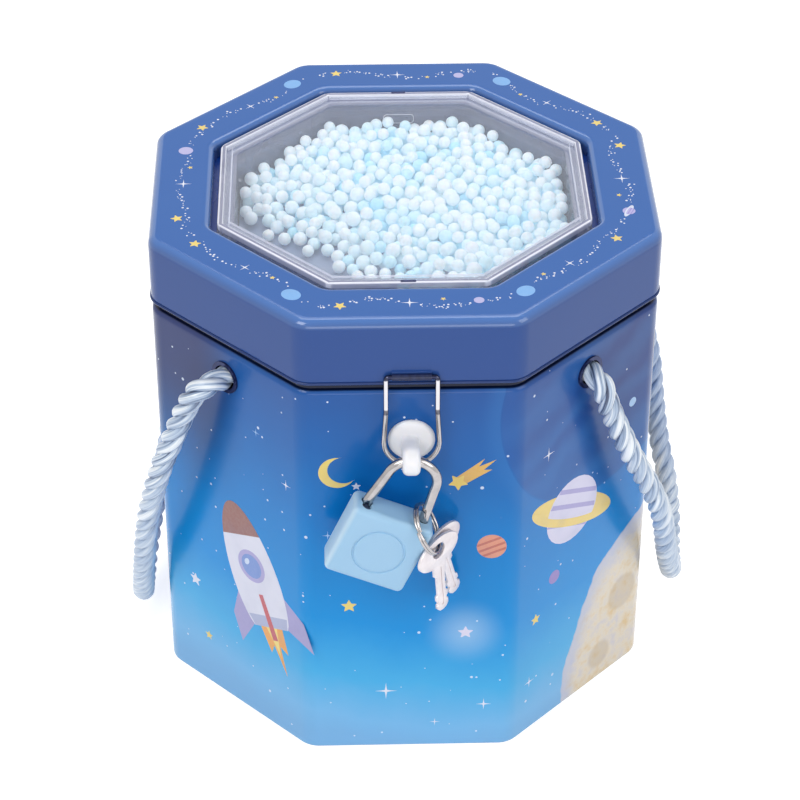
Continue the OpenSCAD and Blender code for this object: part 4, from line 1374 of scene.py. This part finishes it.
class OBJECT_OT_box_prints(bpy.types.Operator):
    """Prints the stars, planets and rockets on the body and the border on the lid"""

    bl_idname = "object.box_prints"
    bl_label = "Printed motifs"

    def execute(self, context):
        white, pale, yellow, cream = (236, 238, 250), (168, 206, 244), (244, 214, 106), (232, 226, 246)
        lilac, sky, gold = (186, 182, 226), (120, 178, 236), (240, 206, 92)
        half, top = size("body_half"), size("lid_top")
        # the body's eight walls, from the front to the right; marks are (across, up, radius)
        walls = [Print(k, lambda v, h: (half + h, v)) for k in range(8)]
        p = walls[0]
        p.sparks(white, (-7, 23, 3.4), (23, 17, 2.4), (8, 10, 1.6))
        p.stars(yellow, (-18, 57, 2.6))
        p.stars(cream, (17, 46, 2.6), soft=0.3)
        p.sparks(pale, (-24, 84, 1.8))
        p.crescent(-21, 107, 5.4, 25, yellow)
        p.star(-15.5, 102, 1.5, white, layer=1, soft=0.2)
        p.banded(24.2, 79, 4.4, 24)
        p.comet(14, 103, 2.5, 35, gold)
        p = walls[1]
        p.ringed(-5, 78, 11.5, -24, (222, 218, 240), (244, 214, 120), (176, 168, 216))
        p.stars(yellow, (-20, 44, 2.2))
        p.sparks(white, (-17, 105, 2.6), (-22, 20, 2.2))
        p.disc(-12, 56, 2.4, (150, 128, 196))
        p.disc(21.5, 104, 1.6, pale)
        p = walls[7]
        p.rocket(9, 57, 1.15, 22, (226, 226, 240), (168, 160, 208), (120, 150, 214))
        p.stars(white, (-18, 40, 2.6))
        p.sparks(white, (24, 99, 2.0))
        p.sparks(pale, (12, 112, 1.5))
        p.stars(yellow, (-13, 20, 1.8), soft=0.2)
        p = walls[6]
        p.sparks(white, (14, 100, 3.0), (16, 34, 2.4))
        p.stars(yellow, (-8, 84, 3.4))
        p.banded(-12, 46, 6.5, 16, (176, 160, 220), (138, 120, 194))
        p = walls[5]
        p.comet(6, 92, 3.4, 152, gold)
        p.stars(white, (-14, 52, 2.6))
        p.sparks(white, (15, 44, 3.0))
        p.disc(-15, 112, 3.2, sky)
        p = walls[4]
        p.rocket(-13, 55, 1.1, 28, (232, 226, 240), (120, 176, 226), (240, 200, 110))
        p.ringed(17, 82, 5.6, -20, (226, 168, 120), (240, 220, 160), (200, 128, 92))
        p.stars(yellow, (17, 40, 3.0))
        p.sparks(white, (4, 22, 3.0), (-20, 96, 2.2))
        p = walls[3]
        p.crescent(0, 78, 10, -20, yellow)
        p.stars(white, (10, 92, 2.4), (-14, 50, 2.0))
        p.sparks(white, (14, 40, 3.0))
        p = walls[2]
        p.stars(white, (-2, 100, 3.0))
        p.sparks(white, (14, 84, 2.4))
        p.banded(12, 106, 3.0, -20, (150, 200, 230), (110, 160, 210))
        p.sparks(pale, (-16, 92, 2.0))
        keep(printed("body_motifs", walls), "box", "printed_tin")

        # the lid's border; marks are (along the side, out from the middle, radius)
        rng = np.random.default_rng(21)
        middle, ends = 65.6, 25.5
        border = [Print(k, lambda v, h: (v, top + h)) for k in range(8)]
        planets = (
            (19.5, 64.8, 1.5), (-19.5, 66.0, 2.9), (-18.5, 66.0, 3.6), (19.5, 66.2, 3.0), (-19.5, 64.8, 1.6),
            (-19.0, 66.2, 2.9), (-19.5, 65.6, 2.2), (19.5, 66.4, 3.0),
        )
        for k, (p, (x, y, r)) in enumerate(zip(border, planets)):
            side = 1 if x < 0 else -1
            taken = [(x, y, r + 0.6), (0, middle, 2.4), (side * 19.5, 66.8, 2.2), (side * -9.5, 63.9, 1.3)]
            for _ in range(90):
                u = float(rng.uniform(-ends, ends))
                v = middle + 1.9 * sin(u * 0.16 + 1.3 * k) + float(rng.normal(0, 0.6))
                dot = float(rng.choice([0.14, 0.2, 0.28, 0.36]))
                if all(hypot(u - a, v - b) > dot + c + 0.1 for a, b, c in taken):
                    p.disc(u, v, dot, white, n=8)
                    taken.append((u, v, dot))
            p.sparks(white, (0, middle, 2.0 if k % 2 else 2.5))
            p.stars(yellow, (side * 19.5, 66.8, 2.0), soft=0.2)
            p.stars(yellow, (side * -9.5, 63.9, 0.9), soft=0)
            if k == 2:
                p.ringed(x, y, 1.9, 24, (184, 176, 226), (220, 226, 244), (150, 140, 204))
            else:
                p.disc(x, y, r, lilac if k in (0, 4, 6) else sky, r * (0.86 if r > 2.5 else 1))
        keep(printed("lid_motifs", border), "lid", "printed_tin")
        return {"FINISHED"}


# ---------------------------------------------------------------- hasp and staple


class OBJECT_OT_box_hasp(bpy.types.Operator):
    """Makes the wire hasp and the white plastic staple"""

    bl_idname = "object.box_hasp"
    bl_label = "Hasp and staple"

    def execute(self, context):
        # half of the wire's shape, from the middle of the roll round to the bottom of the loop
        y0, z0, y1, kink, low, r, half = -75.95, 141.2, -77.2, 130.3, 119.4, 7.95, 7.3
        loop = [(r * cos(radians(a)), y1, low - r * sin(radians(a))) for a in range(10, 171, 8)]
        pts = [(0, y0, z0), (half, y0, z0), (half, y1, kink), (r, y1, low), *loop]
        pts += [(-r, y1, low), (-half, y1, kink), (-half, y0, z0)]
        bends = [0, 0.95, 2.0, 0] + [0] * len(loop) + [0, 2.0, 0.95]
        path = [p + Vector((0.4, 0, 0)) for p in rounded(pts, bends, 6, True)]
        keep(tube("hasp_loop", path, 0.7, "hasp_steel", 20, True), "hasp", "steel", "hasp_wire")

        # the staple: a domed disc with a finger that stands out of it, grown together
        dome = [(0, 2.0)] + [(q, 2.0 - 0.5 * (q / 6.2) ** 3) for q in (1.5, 3, 4.2, 5.2, 5.8)]
        dome += [(6.35, 1.3), (6.7, 0.95), (6.85, 0.5), (6.85, 0.0), (0, 0.0)]
        dome = place(lathe("dome", dome, "white_plastic", 72, 50), STAPLE, spin(90, "X"))
        y1, z1, out = -86.8, 120.2, 4.4
        outline = [(-75.2, z1 - out), *arc(y1, z1, out, 270, 80, 19)]
        outline += [(-83.2, z1 + 3.4), (-80.0, z1 + 2.0), (-75.2, z1 + 1.0)]
        finger = plate("finger", [outline], 5.2, 1.7, "white_plastic", 5)
        place(finger, Matrix(((0, 0, 1, 0), (1, 0, 0, 0), (0, 1, 0, 0), (0, 0, 0, 1))))
        stem = lathe("stem", [(0, 0), (3, 0), (3, 3.6), (2.7, 3.9), (0, 3.9)], "white_plastic", 40)
        place(stem, shift(0, -0.2, 0), STAPLE, spin(-90, "X"))
        o = merged("staple_body", [dome, finger, stem], 42)
        mod = o.modifiers.new("grow", "REMESH")
        mod.mode = "VOXEL"
        mod.voxel_size = 0.22 * MM
        mod = o.modifiers.new("soften", "SMOOTH")
        mod.factor = 0.5
        mod.iterations = 16
        applied(o, 60)
        hole = [(0, -4.2), (2.8, -4.2), (2.5, -2.7), (2.5, 2.7), (2.8, 4.2), (0, 4.2)]
        hole = place(lathe("tool", hole, None, 48), shift(0, y1, z1), spin(90, "Y"))
        keep(cut(o, [hole], 40), "box", "white_plastic", "staple")
        return {"FINISHED"}


# ---------------------------------------------------------------- padlock

LOCK_LEAN = radians(23.8)
LOCK = shift(0, -86.8, 112.65) @ Matrix.Rotation(LOCK_LEAN, 4, "Y")


class OBJECT_OT_box_padlock(bpy.types.Operator):
    """Makes the padlock: plastic cover, steel shackle, lock body and plug"""

    bl_idname = "object.box_padlock"
    bl_label = "Padlock"

    def execute(self, context):
        top, w, h, t = -11.25, 24.6, 24.2, 10.4
        o = block("lock_cover", (-w / 2, -t / 2, top - h), (w / 2, t / 2, top), "lock_plastic", 1.9, 6, 60)
        groove = [(6.95, 0.8), (7.85, 0.8), (7.85, 0.05), (7.65, -0.34), (7.15, -0.34), (6.95, 0.05)]
        groove = place(lathe("tool", groove, None, 72), shift(0, -t / 2, top - h / 2), spin(90, "X"))
        inside = block("tool", (-11.4, -4.3, top - h - 1), (11.4, 4.3, top - 0.9), None)
        holes = [
            drill(r, 3, sides, shift(x, y, top))
            for r, x, y, sides in ((1.65, 8.7, 0, 36), (1.75, -8.7, 0, 36), (1.5, -8.7, -2.1, 32))
        ]
        keep(place(cut(o, [inside, groove, *holes], 38), LOCK), "padlock", "padlock_plastic", "padlock_cover")

        bow = [(7.3 * cos(radians(a)), 0, 7.3 * sin(radians(a))) for a in range(8, 173, 8)]
        path = [(8.7, 0, top - 12), (8.7, 0, top + 1), (7.3, 0, 0), *bow]
        path += [(-7.3, 0, 0), (-8.7, 0, top + 1), (-8.7, 0, top - 4.6)]
        bends = [0, 8.0] + [0] * (len(path) - 4) + [8.0, 0]
        rod = tube("shackle_rod", rounded(path, bends, 6), 1.45, "bright_steel", 28)
        keep(place(rod, LOCK), "shackle", "steel", "padlock_shackle")
        give("lock_casting", "padlock_core")
        give("inner_tin", "shackle_spring")
        give("plug_brass", "key_plug")
        return {"FINISHED"}


# ---------------------------------------------------------------- ring and keys


class OBJECT_OT_box_keys(bpy.types.Operator):
    """Makes the split ring and the two stamped keys"""

    bl_idname = "object.box_keys"
    bl_label = "Key ring and keys"

    def execute(self, context):
        mid = Vector((4.7, -86.8, 95.6))
        b = Vector((-0.09, -1, -0.08)).normalized()
        a = Vector((0.44, 0, -0.9))
        a = (a - b * a.dot(b)).normalized()

        coil, wire = 7.5, 0.45

        def on_ring(t):
            return mid + a * (coil * cos(t)) + b * (coil * sin(t))

        # two coils, with a step of less than one wire between them
        n, apart, step = 180, 0.405, 5
        path = []
        for i in range(n + 1):
            h = max(-1, min(1, (i - n / 2) / step)) * apart
            path.append(on_ring(2 * TAU * i / n + 2.2) + a.cross(b) * h)
        keep(tube("key_ring", path, wire, "bright_steel", 16), "ring", "steel", "split_ring")
        turn = 48
        for name, node, body, at, drop, aside, lean in (
            ("stamped_key_one", "key_one", "first_key", 6, 0.6, -0.3, -6),
            ("stamped_key_two", "key_two", "second_key", -15, 0.9, 0.6, -18),
        ):
            hole = on_ring(radians(at)) + Vector((aside * cos(radians(turn)), aside * sin(radians(turn)), -drop))
            o = place(self.key(name), shift(*hole), spin(turn, "Z"), spin(lean, "Y"), spin(90, "X"))
            keep(o, body, "key_metal", node)
        return {"FINISHED"}

    def key(self, name):
        """A key with its hole at the origin and its blade along -Y."""
        outline = ellipse(0, -0.6, 8.58, 5.2, 52, 0, -66, 246) + [
            (-2.6, -5.4), (-2.6, -9.0), (-1.7, -9.6), (-1.7, -16.8), (-2.4, -17.3), (-2.4, -19.0), (-1.8, -19.4),
            (-1.8, -20.2), (-2.4, -20.6), (-2.4, -22.0), (-1.4, -23.2), (0, -23.5), (1.4, -23.2), (2.4, -22.1),
            (2.4, -20.5), (1.8, -20.2), (1.8, -19.3), (2.4, -18.9), (2.4, -17.3), (1.7, -16.6), (1.7, -9.6),
            (2.6, -9.0), (2.6, -5.4),
        ]
        o = plate(name, [outline, ellipse(0, 0, 2.6, 2.6, 36)], 1.0, 0.14, "key_nickel")
        grooves = (((-0.45, -21.5, 0.28), (0.45, -6.5, 1.0)), ((0.2, -21.5, -1.0), (1.0, -6.5, -0.28)))
        return cut(o, [block("tool", *ends, None) for ends in grooves], 40)


# ---------------------------------------------------------------- panel


class VIEW3D_PT_money_box(bpy.types.Panel):
    """Lists the money box's pieces and settings"""

    bl_idname = "VIEW3D_PT_money_box"
    bl_label = "Tin Money Box"
    bl_space_type = "VIEW_3D"
    bl_region_type = "UI"
    bl_category = "Money Box"

    def draw(self, context):
        col = self.layout.column()
        for cls in STEPS:
            col.operator(cls.bl_idname)
        for group in (context.scene.money_box_sizes, context.scene.money_box_colours):
            for key in group.__annotations__:
                col.prop(group, key)


STEPS = (
    OBJECT_OT_box_stage, OBJECT_OT_box_ropes, OBJECT_OT_box_body, OBJECT_OT_box_lid, OBJECT_OT_box_window,
    OBJECT_OT_box_prints, OBJECT_OT_box_hasp, OBJECT_OT_box_padlock, OBJECT_OT_box_keys,
)
CLASSES = (MoneyBoxSizes, MoneyBoxColours, *STEPS, VIEW3D_PT_money_box)


def register():
    for cls in CLASSES:
        bpy.utils.register_class(cls)
    bpy.types.Scene.money_box_sizes = bpy.props.PointerProperty(type=MoneyBoxSizes)
    bpy.types.Scene.money_box_colours = bpy.props.PointerProperty(type=MoneyBoxColours)


def unregister():
    del bpy.types.Scene.money_box_sizes
    del bpy.types.Scene.money_box_colours
    for cls in reversed(CLASSES):
        bpy.utils.unregister_class(cls)


def main():
    register()
    for step in STEPS:
        getattr(bpy.ops.object, step.bl_idname.split(".")[1])()
    bpy.context.view_layer.update()


if __name__ == "__main__":
    main()
